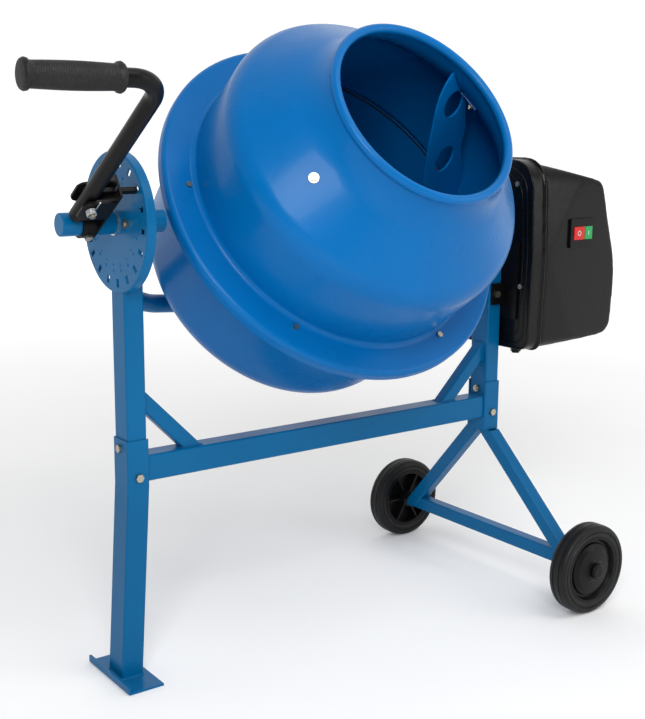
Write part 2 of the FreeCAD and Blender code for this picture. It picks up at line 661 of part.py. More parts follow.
def build_lever():
    ear_y = ARM_R + EAR_GAP
    pin_low = Vec(ARM_X, -ear_y - EAR_T - 14, PIVOT_S)
    pin_high = Vec(ARM_X, ear_y + EAR_T, PIVOT_S)
    web = box(WEB_X, WEB_X + EAR_T, -ear_y - EAR_T, ear_y + EAR_T, -TRUNNION_R - 8, TOOTH_S + 16)
    collar = rod(Vec(WEB_X - 24, 0, 0), Vec(WEB_X, 0, 0), TRUNNION_R + CLAMP_T)
    bracket = web.fuse(collar)
    for y0 in (-ear_y - EAR_T, ear_y):
        ear = box(ARM_X - ARM_R - 3, WEB_X + EAR_T, y0, y0 + EAR_T, PIVOT_S - 30, PIVOT_S + 20)
        nose = [e for e in ear.Edges if abs(e.CenterOfMass.x - ARM_X + ARM_R + 3) < 0.01
                and e.Length < EAR_T + 1]
        bracket = bracket.fuse(ear.makeFillet(14.0, nose))
    slot = box(WEB_X - 1, WEB_X + EAR_T + 1, -TOOTH_W / 2 - 1.5, TOOTH_W / 2 + 1.5,
               TOOTH_S - TOOTH_L / 2 - 3, TOOTH_S + TOOTH_L / 2 + TOOTH_LIFT)
    bracket = bracket.cut(slot).cut(rod(Vec(-200, 0, 0), Vec(0, 0, 0), TRUNNION_R))
    bracket = bracket.cut(rod(Vec(CLAMP_X, -60, 0), Vec(CLAMP_X, 60, 0), BOLT_D / 2 + HOLE_GAP))
    bracket = bracket.cut(rod(pin_low, pin_high, PIVOT_R)).removeSplitter()
    NODES["lever_bracket"] = at_lever(bracket)
    clamp_seat = TRUNNION_R + CLAMP_T
    NODES["bracket_bolt"] = at_lever(group(bolt(Vec(CLAMP_X, -clamp_seat, 0), AXIS_Y, 2 * clamp_seat)))
    pin = rod(pin_low, pin_high, PIVOT_R).fuse(rod(pin_high, pin_high + AXIS_Y * 3, PIVOT_R + 2.5))
    NODES["lever_pivot_pin"] = at_lever(pin.removeSplitter())

    coil = []
    for k in range(4):
        turn = Part.makeTorus(7.0, 1.1, Vec(ARM_X, -ear_y - EAR_T - 1.3 - 2.3 * k, PIVOT_S), AXIS_Y)
        coil.append(turn)
    tail = rod(Vec(ARM_X + 7, -ear_y - EAR_T - 1.3, PIVOT_S), Vec(ARM_X + 7, -ear_y - EAR_T - 1.3, PIVOT_S + 24), 1.1)
    spring = coil[0].multiFuse(coil[1:] + [tail])
    NODES["lever_spring"] = at_lever(spring)

    grip_line = ARM_CORNER
    path = [(ARM_X, ARM_START), (ARM_X, grip_line), (GRIP_END + GRIP_CAP_T, grip_line)]
    tube = bent_tube(path, [ARM_BEND], ARM_R, ARM_WALL, upright_xz)
    tip_x = -POST_X / 2 - DISC_T - TOOTH_GAP
    tooth = box(ARM_X + ARM_R - 1.2, tip_x, -TOOTH_W / 2, TOOTH_W / 2,
                TOOTH_S - TOOTH_L / 2, TOOTH_S + TOOTH_L / 2)
    tube = tube.fuse(tooth).removeSplitter()
    pin_hole = rod(pin_low, pin_high, PIVOT_R + RUN_GAP)
    NODES["lever"] = at_lever(tube.cut(pin_hole))

    flange = GRIP_FLANGE_T
    outline = [(GRIP_END, 0), (GRIP_END, GRIP_FLANGE_R), (GRIP_END + flange, GRIP_FLANGE_R),
               (GRIP_END + flange + 4, GRIP_R)]
    steps = 8
    span = GRIP_START - flange - 4 - (GRIP_END + flange + 4)
    for k in range(1, steps):
        share = k / steps
        outline.append((GRIP_END + flange + 4 + span * share,
                        GRIP_R + GRIP_BULGE * math.sin(math.pi * share)))
    outline += [(GRIP_START - flange - 4, GRIP_R), (GRIP_START - flange, GRIP_FLANGE_R),
                (GRIP_START, GRIP_FLANGE_R), (GRIP_START, ARM_R), (GRIP_END + GRIP_CAP_T, ARM_R),
                (GRIP_END + GRIP_CAP_T, 0)]
    points = [upright_xz(*p) for p in outline]
    grip = Part.Face(Part.makePolygon(points + points[:1])).revolve(Vec(0, 0, 0), AXIS_X, 360)
    grip.translate(Vec(0, 0, grip_line))
    NODES["lever_grip"] = at_lever(grip)


# ================================================================ drum
def upper_profile():
    """Outer line of the upper drum as radius and height, from the mouth to the flange."""
    return [(MOUTH_R, MOUTH_H), (NECK_R, NECK_H), (SHOULDER_R, SHOULDER_H), (DRUM_R, FLANGE_H)]


def bowl_profile():
    return [(DRUM_R, FLANGE_H - 2 * SHEET_T), (BOWL_R, BOWL_H), (DISH_R, DISH_H),
            (FLOOR_R, FLOOR_H), (0.0, FLOOR_H)]


def inner_line(depth):
    """Line that runs depth inside the drum's outer surface, from the mouth to the axis."""
    path = upper_profile()[:3] + [(DRUM_R, FLANGE_H - SHEET_T)] + bowl_profile()[1:]
    radii = [NECK_ROUND, SHOULDER_ROUND, CREASE_ROUND, BOWL_ROUND, DISH_ROUND, FLOOR_ROUND]
    return rounded_path(path, radii, upright_xz).makeOffset2D(-depth, 0, False, True, False)


def drum_space(inset):
    """Solid that fills the drum's inside, kept inset from the sheet."""
    line = inner_line(SHEET_T + inset)
    ends = sorted([v.Point for v in line.Vertexes], key=lambda p: p.z)
    low, high = ends[0], ends[-1]
    top = Part.makeLine(high, Vec(0, 0, high.z))
    closing = Part.makeLine(Vec(0, 0, high.z), low)
    face = Part.Face(Part.Wire(Part.sortEdges(line.Edges + [top, closing])[0]))
    space = face.revolve(Vec(0, 0, 0), AXIS_Z, 360)
    return space.common(half_space(Vec(0, 0, MOUTH_H - BEAD_ROOM), AXIS_Z * -1))


def flange_holes():
    holes = []
    for k in range(FLANGE_BOLTS):
        centre = drum_point(BOLT_CIRCLE, FLANGE_BOLT_PHASE + 360.0 * k / FLANGE_BOLTS, 0)
        holes.append(rod(centre, centre + AXIS_Z * 60, M6_D / 2 + HOLE_GAP))
    return holes


def build_drum():
    shell = spun_sheet(upper_profile() + [(SKIRT_R, FLANGE_H), (SKIRT_R, FLANGE_H - SKIRT_DROP)],
                       [NECK_ROUND, SHOULDER_ROUND, CREASE_ROUND, SKIRT_ROUND], -SHEET_T)
    bead = Part.makeTorus(MOUTH_R, BEAD_R, Vec(0, 0, MOUTH_H - 1.0), AXIS_Z)
    upper = shell.fuse(bead).removeSplitter()
    bowl = spun_sheet([(FLANGE_OUT, FLANGE_H - 2 * SHEET_T)] + bowl_profile(),
                      [CREASE_ROUND / 2, BOWL_ROUND, DISH_ROUND, FLOOR_ROUND], -SHEET_T)
    bolts = []
    for k, hole in enumerate(flange_holes()):
        upper = upper.cut(hole)
        bowl = bowl.cut(hole)
        seat = drum_point(BOLT_CIRCLE, FLANGE_BOLT_PHASE + 360.0 * k / FLANGE_BOLTS, FLANGE_H)
        bolts += bolt(seat, AXIS_Z * -1, FLANGE_H - ring_floor(), M6_D, M6_AF, M6_HEAD)
    holes, fixings = blade_fixings()
    for hole in holes:
        upper = upper.cut(hole)
        bowl = bowl.cut(hole)
    plate_bolts = []
    for k in range(4):
        at = drum_point(PLATE_BOLT_R, 45.0 + 90.0 * k, FLOOR_H - SPINDLE_PLATE_T)
        bowl = bowl.cut(rod(at, at + AXIS_Z * 20, M6_D / 2 + HOLE_GAP))
        plate_bolts += bolt(at + AXIS_Z * (SPINDLE_PLATE_T + SHEET_T), AXIS_Z * -1,
                            SPINDLE_PLATE_T + SHEET_T, M6_D, M6_AF, 3.5)
    NODES["drum_upper"] = at_drum(upper)
    NODES["drum_bowl"] = at_drum(bowl)
    NODES["flange_bolts"] = at_drum(group(bolts))
    NODES["blade_bolts"] = at_drum(group(fixings))

    plate = rod(Vec(0, 0, FLOOR_H - SPINDLE_PLATE_T), Vec(0, 0, FLOOR_H), SPINDLE_PLATE_R)
    for k in range(4):
        at = drum_point(PLATE_BOLT_R, 45.0 + 90.0 * k, FLOOR_H - SPINDLE_PLATE_T)
        plate = plate.cut(rod(at, at + AXIS_Z * 20, M6_D / 2 + HOLE_GAP))
    foot = HUB_BOTTOM - 2.0 - NUT_H - 2.0
    shaft = rod(Vec(0, 0, foot), Vec(0, 0, FLOOR_H - SPINDLE_PLATE_T), SPINDLE_R)
    NODES["drum_spindle"] = at_drum(plate.fuse(shaft).removeSplitter())
    nut = hex_prism(Vec(0, 0, foot + 2.0), AXIS_Z, NUT_AF, NUT_H).cut(shaft)
    NODES["spindle_fixings"] = at_drum(group(plate_bolts + [nut]))


def blade_frame():
    """Top point of the first blade's plane on the wall, its way down the wall and its way inwards."""
    top = drum_point(shell_radius(BLADE_TOP_H), BLADE_TOP_DEG, BLADE_TOP_H)
    low = drum_point(shell_radius(BLADE_LOW_H), BLADE_LOW_DEG, BLADE_LOW_H)
    down = (low - top).normalize()
    middle = (top + low) * 0.5
    inward = Vec(-middle.x, -middle.y, 0)
    inward = (inward - down * inward.dot(down)).normalize()
    return top, down, inward


def blade_wall_angle(height):
    """Angle at which the blade's plane meets the wall at a height."""
    top, down, inward = blade_frame()
    normal = down.cross(inward)
    swing = shell_radius(height) * math.hypot(normal.x, normal.y)
    share = (normal.dot(top) - normal.z * height) / swing
    return math.degrees(math.atan2(normal.y, normal.x) - math.acos(share))


def shell_radius(height):
    """Inside radius of the drum at a height."""
    level = Part.makeLine(Vec(0, 0, height), Vec(SKIRT_R, 0, height))
    return inner_line(SHEET_T).distToShape(level)[1][0][0].x


def blade_plate():
    top, down, inward = blade_frame()
    normal = down.cross(inward)
    beyond = -60.0

    def place(run, depth):
        return top + down * run + inward * depth - normal * (BLADE_T / 2)
    outer = [(BLADE_FREE[-1][0], beyond), (BLADE_NOTCH[0][0], beyond)] + BLADE_NOTCH
    outer += [(BLADE_NOTCH[-1][0], beyond), (BLADE_FREE[0][0], beyond)]
    points = [place(*p) for p in BLADE_FREE + outer]
    plate = Part.Face(Part.makePolygon(points + points[:1])).extrude(normal * BLADE_T)
    for run, depth in BLADE_HOLES:
        centre = place(run, depth)
        plate = plate.cut(rod(centre - normal * 5, centre + normal * (BLADE_T + 5), BLADE_HOLE_R))
    return plate.common(drum_space(BLADE_GAP))


def blade_tabs():
    """Height on the wall and angle of the first blade's two fixing bolts."""
    return [(height, blade_wall_angle(height) - TAB_BACK) for height in (TAB_HIGH, TAB_LOW)]


def tab_frame(height, degrees):
    """Point on the inside of the wall and its outward normal."""
    step = 2.0
    slope = (shell_radius(height + step) - shell_radius(height - step)) / (2 * step)
    outward = drum_point(1.0, degrees, -slope).normalize()
    return drum_point(shell_radius(height), degrees, height), outward


def blade_fixings():
    holes = []
    fixings = []
    seat_out = SHEET_T + SEAT_GAP + WASHER_T
    grip = seat_out + TAB_GAP + TAB_T + SEAT_GAP
    for half_turn in (0.0, 180.0):
        for height, degrees in blade_tabs():
            inside, outward = tab_frame(height, degrees + half_turn)
            seat = inside + outward * seat_out
            holes.append(rod(seat, seat - outward * 30, M6_D / 2 + HOLE_GAP))
            fixings.append(pipe(seat, seat - outward * WASHER_T, WASHER_R, M6_D / 2))
            fixings += bolt(seat, outward * -1, grip, M6_D, M6_AF, M6_HEAD)
    return holes, fixings


def build_blades():
    """Both mixing blades: a flat plate with two curved tabs that follow the drum wall."""
    wall_skin = drum_space(TAB_GAP).cut(drum_space(TAB_GAP + TAB_T))
    blade = blade_plate()
    for height, degrees in blade_tabs():
        inside, outward = tab_frame(height, degrees)
        across = AXIS_Z.cross(outward).normalize()
        up = outward.cross(across)
        block = Part.makeBox(TAB_W, TAB_H, TAB_W)
        corner = inside - outward * (TAB_W / 2) - across * TAB_END - up * (TAB_H / 2)
        block.Placement = FreeCAD.Placement(corner, FreeCAD.Rotation(across, up, outward, "ZXY"))
        hole = rod(inside - outward * 20, inside + outward * 20, M6_D / 2 + HOLE_GAP)
        blade = blade.fuse(block.common(wall_skin).cut(hole))
    blade = blade.removeSplitter()
    NODES["mixing_blade_front"] = at_drum(blade)
    second = blade.copy()
    second.rotate(Vec(0, 0, 0), AXIS_Z, 180)
    NODES["mixing_blade_rear"] = at_drum(second)


# ================================================================ drive
def pitch_height():
    return MODULE * PINION_TEETH / 2


def ring_floor():
    """Underside of the ring gear's body, which is also the teeth's root."""
    return pitch_height() + PINION_ADDENDUM + ROOT_GAP


def build_ring_gear():
    ring_r = MODULE * RING_TEETH / 2
    root = ring_floor()
    top = FLANGE_H - 2 * SHEET_T
    tip = pitch_height() - RING_ADDENDUM
    half_pitch = math.pi * MODULE / 4 - BACKLASH / 2
    slope = math.tan(math.radians(PRESSURE_DEG))
    at_root = half_pitch + slope * (root - pitch_height())
    at_tip = half_pitch - slope * RING_ADDENDUM
    inner = ring_r - RING_FACE / 2
    outer = ring_r + RING_FACE / 2
    per_segment = RING_TEETH // RING_SEGMENTS
    step = 360.0 / RING_TEETH
    sweep = 360.0 / RING_SEGMENTS
    gap = 0.08
    body = Part.makeCylinder(RING_OUT, top - root, Vec(0, 0, root), AXIS_Z, sweep - gap)
    body = body.cut(Part.makeCylinder(RING_IN, top - root, Vec(0, 0, root)))
    teeth = []
    for k in range(per_segment):
        rings = []
        for r in (inner, outer):
            share = r / ring_r
            pts = [(-at_root * share, root + 0.5), (-at_root * share, root), (-at_tip * share, tip),
                   (at_tip * share, tip), (at_root * share, root), (at_root * share, root + 0.5)]
            rings.append(Part.makePolygon([Vec(r, y, z) for y, z in pts + pts[:1]]))
        tooth = Part.makeLoft(rings, True, True)
        tooth.rotate(Vec(0, 0, 0), AXIS_Z, step * (k + 0.5) - gap / 2)
        teeth.append(tooth)
    segment = body.multiFuse(teeth).removeSplitter()
    segments = []
    for k in range(RING_SEGMENTS):
        copy = segment.copy()
        copy.rotate(Vec(0, 0, 0), AXIS_Z, sweep * k + gap / 2)
        segments.append(copy)
    holes = group(flange_holes())
    NODES["ring_gear"] = at_drum(group([s.cut(holes) for s in segments]))


def involute(base, radius):
    ratio = math.sqrt(max((radius / base) ** 2 - 1, 0.0))
    return ratio - math.atan(ratio)


def build_pinion():
    pitch_r = pitch_height()
    base = pitch_r * math.cos(math.radians(PRESSURE_DEG))
    tip = pitch_r + PINION_ADDENDUM
    root = pitch_r - RING_ADDENDUM - ROOT_GAP
    half = math.pi / (2 * PINION_TEETH) - BACKLASH / (2 * pitch_r)
    centre = half + involute(base, pitch_r)
    radii = [base + (tip - base) * k / 5 for k in range(6)]
    flank = [(root, centre)] + [(r, centre - involute(base, r)) for r in radii]
    outline = []
    for k in range(PINION_TEETH):
        middle = 2 * math.pi * k / PINION_TEETH
        outline += [(r, middle - a) for r, a in flank]
        outline += [(r, middle + a) for r, a in reversed(flank)]
    points = [Vec(0, r * math.sin(a), r * math.cos(a)) for r, a in outline]
    face_x = MODULE * RING_TEETH / 2 - RING_FACE / 2
    gear = Part.Face(Part.makePolygon(points + points[:1])).extrude(Vec(RING_FACE, 0, 0))
    gear.translate(Vec(DRUM_X + face_x, 0, 0))
    start = DRUM_X + face_x - 8
    shaft_line = (Vec(start, 0, 0), Vec(PULLEY_X + PULLEY_W + 8, 0, 0))
    gear = gear.cut(rod(shaft_line[0], shaft_line[1], SHAFT_R))
    NODES["pinion"] = at_tilt(gear)
    NODES["drive_shaft"] = at_tilt(rod(shaft_line[0], shaft_line[1], SHAFT_R))
    wheel = pulley(PULLEY_BIG_R, SHAFT_R, 14.0, 8.0)
    NODES["large_pulley"] = at_tilt(wheel)


def pulley(outer, bore, hub, web):
    """Flat-grooved belt pulley with its axis on X."""
    x0, x1 = PULLEY_X, PULLEY_X + PULLEY_W
    body = rod(Vec(x0, 0, 0), Vec(x1, 0, 0), outer + 2.5)
    groove_x0 = x0 + (PULLEY_W - BELT_W) / 2 - 0.5
    groove_x1 = x1 - (PULLEY_W - BELT_W) / 2 + 0.5
    body = body.cut(pipe(Vec(groove_x0, 0, 0), Vec(groove_x1, 0, 0), outer + 5, outer))
    if outer > 2 * hub:
        middle = (x0 + x1) / 2
        body = body.cut(pipe(Vec(x0, 0, 0), Vec(middle - web / 2, 0, 0), outer - 8, hub))
        body = body.cut(pipe(Vec(middle + web / 2, 0, 0), Vec(x1, 0, 0), outer - 8, hub))
    return body.cut(rod(Vec(x0, 0, 0), Vec(x1, 0, 0), bore))


def belt_outline(extra):
    """Loop round both pulleys in the Y-Z plane, centred on the large one."""
    big = PULLEY_BIG_R + extra
    small = PULLEY_SMALL_R + extra
    lean = math.asin((big - small) / MOTOR_DROP)
    low = Vec(0, 0, -MOTOR_DROP)
    right_big = Vec(0, big * math.cos(lean), -big * math.sin(lean))
    left_big = Vec(0, -right_big.y, right_big.z)
    right_small = low + Vec(0, small * math.cos(lean), -small * math.sin(lean))
    left_small = Vec(0, -right_small.y, right_small.z)
    edges = [Part.Arc(left_big, Vec(0, 0, big), right_big).toShape(),
             Part.makeLine(right_big, right_small),
             Part.Arc(right_small, low - Vec(0, 0, small), left_small).toShape(),
             Part.makeLine(left_small, left_big)]
    return Part.Face(Part.Wire(edges))


def build_motor():
    motor_z = TILT_Z - MOTOR_DROP
    belt = belt_outline(BELT_GAP + BELT_T).cut(belt_outline(BELT_GAP)).extrude(Vec(BELT_W, 0, 0))
    belt.translate(Vec(PULLEY_X + (PULLEY_W - BELT_W) / 2, 0, TILT_Z))
    NODES["drive_belt"] = belt
    small = pulley(PULLEY_SMALL_R, MOTOR_SHAFT_R, PULLEY_SMALL_R, 8.0)
    small.translate(Vec(0, 0, motor_z))
    NODES["small_pulley"] = small
    start = Vec(PULLEY_X - 2, 0, motor_z)
    end = Vec(MOTOR_X + MOTOR_LENGTH + 6, 0, motor_z)
    NODES["motor_shaft"] = rod(start, end, MOTOR_SHAFT_R)
    case = rod(Vec(MOTOR_X, 0, motor_z), Vec(MOTOR_X + MOTOR_LENGTH, 0, motor_z), MOTOR_R)
    rims = [e for e in case.Edges if e.Closed and e.Length > MOTOR_R]
    case = case.makeFillet(8.0, rims)
    NODES["motor_body"] = case.cut(rod(start, end + AXIS_X * 10, MOTOR_SHAFT_R + RUN_GAP))
    face = MOUNT_X + MOUNT_T
    mount = box(MOUNT_X, face, -MOUNT_HALF, MOUNT_HALF, motor_z - MOUNT_DOWN, motor_z + MOUNT_UP)
    mount = mount.cut(rod(start, end, MOTOR_SHAFT_R + 6))
    pad = pipe(Vec(face, 0, motor_z), Vec(MOTOR_X, 0, motor_z), MOTOR_R - 14, MOTOR_SHAFT_R + 6)
    mount = mount.fuse(pad)
    for y in (-STANDOFF_Y, STANDOFF_Y):
        for z in (motor_z - MOUNT_DOWN + 14, motor_z + MOUNT_UP - 14):
            mount = mount.fuse(rod(Vec(HOUSING_X + HOUSING_WALL, y, z), Vec(MOUNT_X, y, z), STANDOFF_R))
    NODES["motor_mount"] = mount.removeSplitter()


# ================================================================ housing
def housing_block(x0, x1, grow):
    """Egg-shaped block of the housing's end view, grown outwards by grow."""
    half = HOUSING_HALF + grow
    low = HOUSING_BOTTOM - grow
    high = HOUSING_TOP + grow
    corners = [(-half + 6, low), (half - 6, low), (half, (low + high) / 2), (half - 8, high),
               (-half + 8, high), (-half, (low + high) / 2)]
    radii = [LOW_ROUND, LOW_ROUND, 300.0, TOP_ROUND, TOP_ROUND, 300.0]

    def place(y, z):
        return Vec(x0, y, z)
    return Part.Face(closed_outline(corners, radii, place)).extrude(Vec(x1 - x0, 0, 0))


def cover_block(inset):
    """Cover: the end view, cut by its bulged side view and its tapered plan view."""
    block = housing_block(SEAM_X - (inset and 1.0), COVER_END_MID[0] + 20, -inset)
    corners = [(SEAM_X - 60, HOUSING_BOTTOM - 2), COVER_END_LOW, COVER_END_MID, COVER_END_TOP,
               (SEAM_X - 60, HOUSING_TOP + 5)]
    radii = [1.0, 34.0, 260.0, 30.0, 1.0]

    def from_side(x, z):
        return Vec(x, -200, z)
    profile = Part.Face(closed_outline(corners, radii, from_side))
    if inset:
        profile = profile.makeOffset2D(-inset)
    block = block.common(profile.extrude(Vec(0, 400, 0)))
    end_x = COVER_END_MID[0] + 30
    taper = COVER_TAPER * (end_x - SEAM_X) / (COVER_END_MID[0] - SEAM_X)
    half = HOUSING_HALF + 0.5 - inset
    plan = [Vec(SEAM_X - 60, -half, 400), Vec(SEAM_X, -half, 400), Vec(end_x, -half + taper, 400),
            Vec(end_x, half - taper, 400), Vec(SEAM_X, half, 400), Vec(SEAM_X - 60, half, 400)]
    return block.common(Part.Face(Part.makePolygon(plan + plan[:1])).extrude(Vec(0, 0, 600)))


def switch_place():
    """Frame on the cover's front face: -Y outwards, X along the face."""
    lean = math.degrees(math.atan2(COVER_TAPER, COVER_END_MID[0] - SEAM_X))
    y = -HOUSING_HALF - 0.5 + COVER_TAPER * (SWITCH_X - SEAM_X) / (COVER_END_MID[0] - SEAM_X)
    return FreeCAD.Placement(Vec(SWITCH_X, y, SWITCH_Z), FreeCAD.Rotation(AXIS_Z, lean))


def on_switch(shape):
    shape.Placement = switch_place().multiply(shape.Placement)
    return shape


def build_housing():
    inner_x = HOUSING_X + HOUSING_WALL
    back = housing_block(HOUSING_X, SEAM_X, 0.0)
    back = back.fuse(housing_block(SEAM_X - HOUSING_LIP_W, SEAM_X, HOUSING_LIP))
    back = back.cut(housing_block(inner_x, SEAM_X + 1, -HOUSING_WALL)).removeSplitter()
    back = back.cut(rod(Vec(HOUSING_X - 1, 0, TILT_Z), Vec(inner_x + 1, 0, TILT_Z), TRUNNION_R + 1.5))
    screws = []
    high, low = (SCREW_HIGH_Y, SCREW_HIGH_Z), (SCREW_LOW_Y, SCREW_LOW_Z)
    for y, z in ((-high[0], high[1]), high, (-low[0], low[1]), low):
        seat = Vec(HOUSING_X, y, z)
        screws += bolt(seat, AXIS_X, HOUSING_WALL, 6.0, 10.0, 4.0)
        back = back.cut(rod(seat - AXIS_X, seat + AXIS_X * 10, 3.0))
    gland_seat = Vec(INLET_X, INLET_Y, HOUSING_BOTTOM + HOUSING_WALL)
    back = back.cut(rod(gland_seat - AXIS_Z * 10, gland_seat + AXIS_Z * 2, 8.0))
    NODES["housing_back"] = back
    NODES["housing_screws"] = group(screws)
    gland = rod(gland_seat - AXIS_Z * 14, gland_seat + AXIS_Z * 8, 8.0)
    gland = gland.fuse(hex_prism(gland_seat - AXIS_Z * (HOUSING_WALL + 8), AXIS_Z, INLET_AF, 8.0))
    NODES["cable_inlet"] = gland.cut(rod(gland_seat - AXIS_Z * 20, gland_seat + AXIS_Z * 20, 4.5))

    cover = cover_block(0.0).cut(cover_block(HOUSING_WALL))
    window = box(-SWITCH_W / 2 + 5, SWITCH_W / 2 - 5, -20, 30, -SWITCH_H / 2 + 5, SWITCH_H / 2 - 5)
    cover = cover.cut(on_switch(window))
    NODES["housing_cover"] = max(cover.Solids, key=lambda s: s.Volume)
    build_switch()


def button_box(side, grow, front, back):
    """Block of one button: side -1 is stop, on the left, and 1 is start."""
    total = BUTTON_STOP_W + BUTTON_START_W + 2.0
    x0 = -total / 2 if side < 0 else -total / 2 + BUTTON_STOP_W + 2.0
    width = BUTTON_STOP_W if side < 0 else BUTTON_START_W
    return box(x0 - grow, x0 + width + grow, front, back, -BUTTON_H / 2 - grow, BUTTON_H / 2 + grow)


def build_switch():
    rim = box(-SWITCH_W / 2, SWITCH_W / 2, -SWITCH_RIM, 0, -SWITCH_H / 2, SWITCH_H / 2)
    upright = [e for e in rim.Edges if abs(e.Length - SWITCH_RIM) < 0.01]
    rim = rim.makeFillet(4.0, upright)
    body_half = 5.0 + 0.4
    body = box(-SWITCH_W / 2 + body_half, SWITCH_W / 2 - body_half, 0, SWITCH_BODY,
               -SWITCH_H / 2 + body_half, SWITCH_H / 2 - body_half)
    frame = rim.fuse(body).removeSplitter()
    for side in (-1, 1):
        frame = frame.cut(button_box(side, BUTTON_GAP, -SWITCH_RIM - 1, 14.0))
    NODES["switch_frame"] = on_switch(frame)
    for name, side in (("stop_button", -1), ("start_button", 1)):
        button = button_box(side, 0.0, -SWITCH_RIM - BUTTON_PROUD, 8.0)
        face = [e for e in button.Edges if abs(e.CenterOfMass.y + SWITCH_RIM + BUTTON_PROUD) < 0.01]
        NODES[name] = on_switch(button.makeFillet(1.2, face))


def build_bracket():
    """Plate that carries the housing on the right post."""
    x0 = POST_SPACING + POST_X / 2
    plate = box(x0, HOUSING_X, -BRACKET_HALF, BRACKET_HALF, BRACKET_LOW, BRACKET_TOP)
    bolt_r = BOLT_D / 2 + HOLE_GAP
    for side in (-1, 1):
        inner = side * POST_Y / 2
        outer = side * (POST_Y / 2 + BRACKET_T)
        ear = box(POST_SPACING - 12, x0, min(inner, outer), max(inner, outer),
                  BRACKET_BOLT_Z - 22, BRACKET_BOLT_Z + 22)
        plate = plate.fuse(ear)
    cross = rod(Vec(POST_SPACING, -POST_Y, BRACKET_BOLT_Z), Vec(POST_SPACING, POST_Y, BRACKET_BOLT_Z), bolt_r)
    NODES["housing_bracket"] = plate.cut(cross).removeSplitter()


# ================================================================ build and export
def main():
    build_frame()
    build_support_leg()
    build_wheel_stand()
    build_tilt_bearings()
    build_cradle()
    build_lever()
    build_drum()
    build_blades()
    build_ring_gear()
    build_pinion()
    build_motor()
    build_bracket()
    build_housing()
    whole = group(list(NODES.values())).optimalBoundingBox()
    shift = Vec(-(whole.XMin + whole.XMax) / 2, -(whole.YMin + whole.YMax) / 2, 0)
    os.makedirs("parts", exist_ok=True)
    for name, shape in NODES.items():
        shape.translate(shift)
        shape.exportStep("parts/" + name + ".step")
    print("nodes", len(NODES), "shift", tuple(round(v, 4) for v in shift), "box", whole)
    return shift


SHIFT = main()
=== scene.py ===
"""Looks of the concrete mixer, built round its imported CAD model.

Metres, in the CAD model's own frame: X runs along the stand from the lever to the motor, -Y is the
side the drum empties to, Z = 0 is the floor.
"""
import bpy
import bmesh
import json
import math
from mathutils import Matrix, Vector


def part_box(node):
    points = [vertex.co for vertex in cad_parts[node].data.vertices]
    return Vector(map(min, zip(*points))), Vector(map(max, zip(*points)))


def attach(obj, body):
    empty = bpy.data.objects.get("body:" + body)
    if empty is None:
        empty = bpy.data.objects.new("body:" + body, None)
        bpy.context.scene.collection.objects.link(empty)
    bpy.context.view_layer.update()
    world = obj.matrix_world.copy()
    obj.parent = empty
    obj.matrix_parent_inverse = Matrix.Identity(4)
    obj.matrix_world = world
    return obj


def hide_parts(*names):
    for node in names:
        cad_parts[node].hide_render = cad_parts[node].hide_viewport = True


MM = 0.001

# ---------------------------------------------------------------- camera
CAMERA_AT = (-853.6, -1692.9, 927.7)    # millimetres, from the left post
CAMERA_HEADING = 35.58        # degrees towards +X from +Y
CAMERA_PITCH = -10.78
CAMERA_ROLL = 0.2
CAMERA_LENS = 57.05
CAMERA_SHIFT = (0.0278, -0.0082)

# ---------------------------------------------------------------- drum sheet, as in the CAD model
SHEET = 2.0
UPPER_LINE = [(169.0, 314.0), (185.0, 268.0), (290.0, 182.0), (286.0, 33.0), (345.0, 33.0),
              (345.0, 12.0)]
UPPER_ROUND = [90.0, 52.0, 10.0, 9.0]
BOWL_LINE = [(336.0, 29.0), (286.0, 29.0), (283.0, -205.0), (112.0, -301.0), (62.0, -318.0),
             (0.0, -318.0)]
BOWL_ROUND = [5.0, 62.0, 110.0, 10.0]
BEAD_RADIUS = 7.9
SEAL_AT = (283.6, 31.0)
SEAL_RADIUS = 1.6
DRUM_STEPS = 224
BEND_STEPS = 14

# ---------------------------------------------------------------- locking disc and lever
TILT_DEG = 55.2               # drum axis from vertical
DISC_SLOTS = 18
DIMPLES = ((0.0795, 0.0030), (0.0700, 0.0022))    # distance from the middle and size, in metres
LEVER_TUBE = 13.0             # radius
GRIP_RIBS = 34

# ---------------------------------------------------------------- housing
COVER_END = [(1070.0, 838.0), (1127.0, 655.0), (1117.0, 512.0)]
COVER_END_ROUND = [30.0, 260.0, 34.0]
COVER_TAPER = 15.0
SEAM = 890.0
TOP_ROUND = 58.0
LOW_ROUND = 26.0
BACK_X = 852.0                # back face, from the left post
HALF_WIDTH = 102.0
HOUSING_LOW = 497.0
HOUSING_HIGH = 884.0
LIP = 4.0                     # how far the seam's lip stands out
RIB_SIZE = 0.0022             # metres

# ---------------------------------------------------------------- weld beads, in metres
BEAM_BEAD = 0.0022
BRACE_BEAD = 0.0018
BRACE_REACH = 0.095           # middle of a brace's end, along the beam or up the post
BRACE_LONG = 0.0191           # half of that end's length
BRACE_WIDE = 0.0125           # half of its width
LEG_TUBE = 0.041


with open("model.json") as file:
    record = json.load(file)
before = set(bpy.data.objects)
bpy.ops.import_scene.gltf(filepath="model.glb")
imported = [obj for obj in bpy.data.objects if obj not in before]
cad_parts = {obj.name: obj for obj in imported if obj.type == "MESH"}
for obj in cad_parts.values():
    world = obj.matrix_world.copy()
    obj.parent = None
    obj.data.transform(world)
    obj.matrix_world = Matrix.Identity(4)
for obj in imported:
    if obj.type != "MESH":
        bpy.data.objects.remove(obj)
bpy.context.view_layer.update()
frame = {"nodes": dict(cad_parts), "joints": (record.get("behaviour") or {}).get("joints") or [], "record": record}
nodes = frame["nodes"]
joints = {j["name"]: j for j in frame["joints"]}


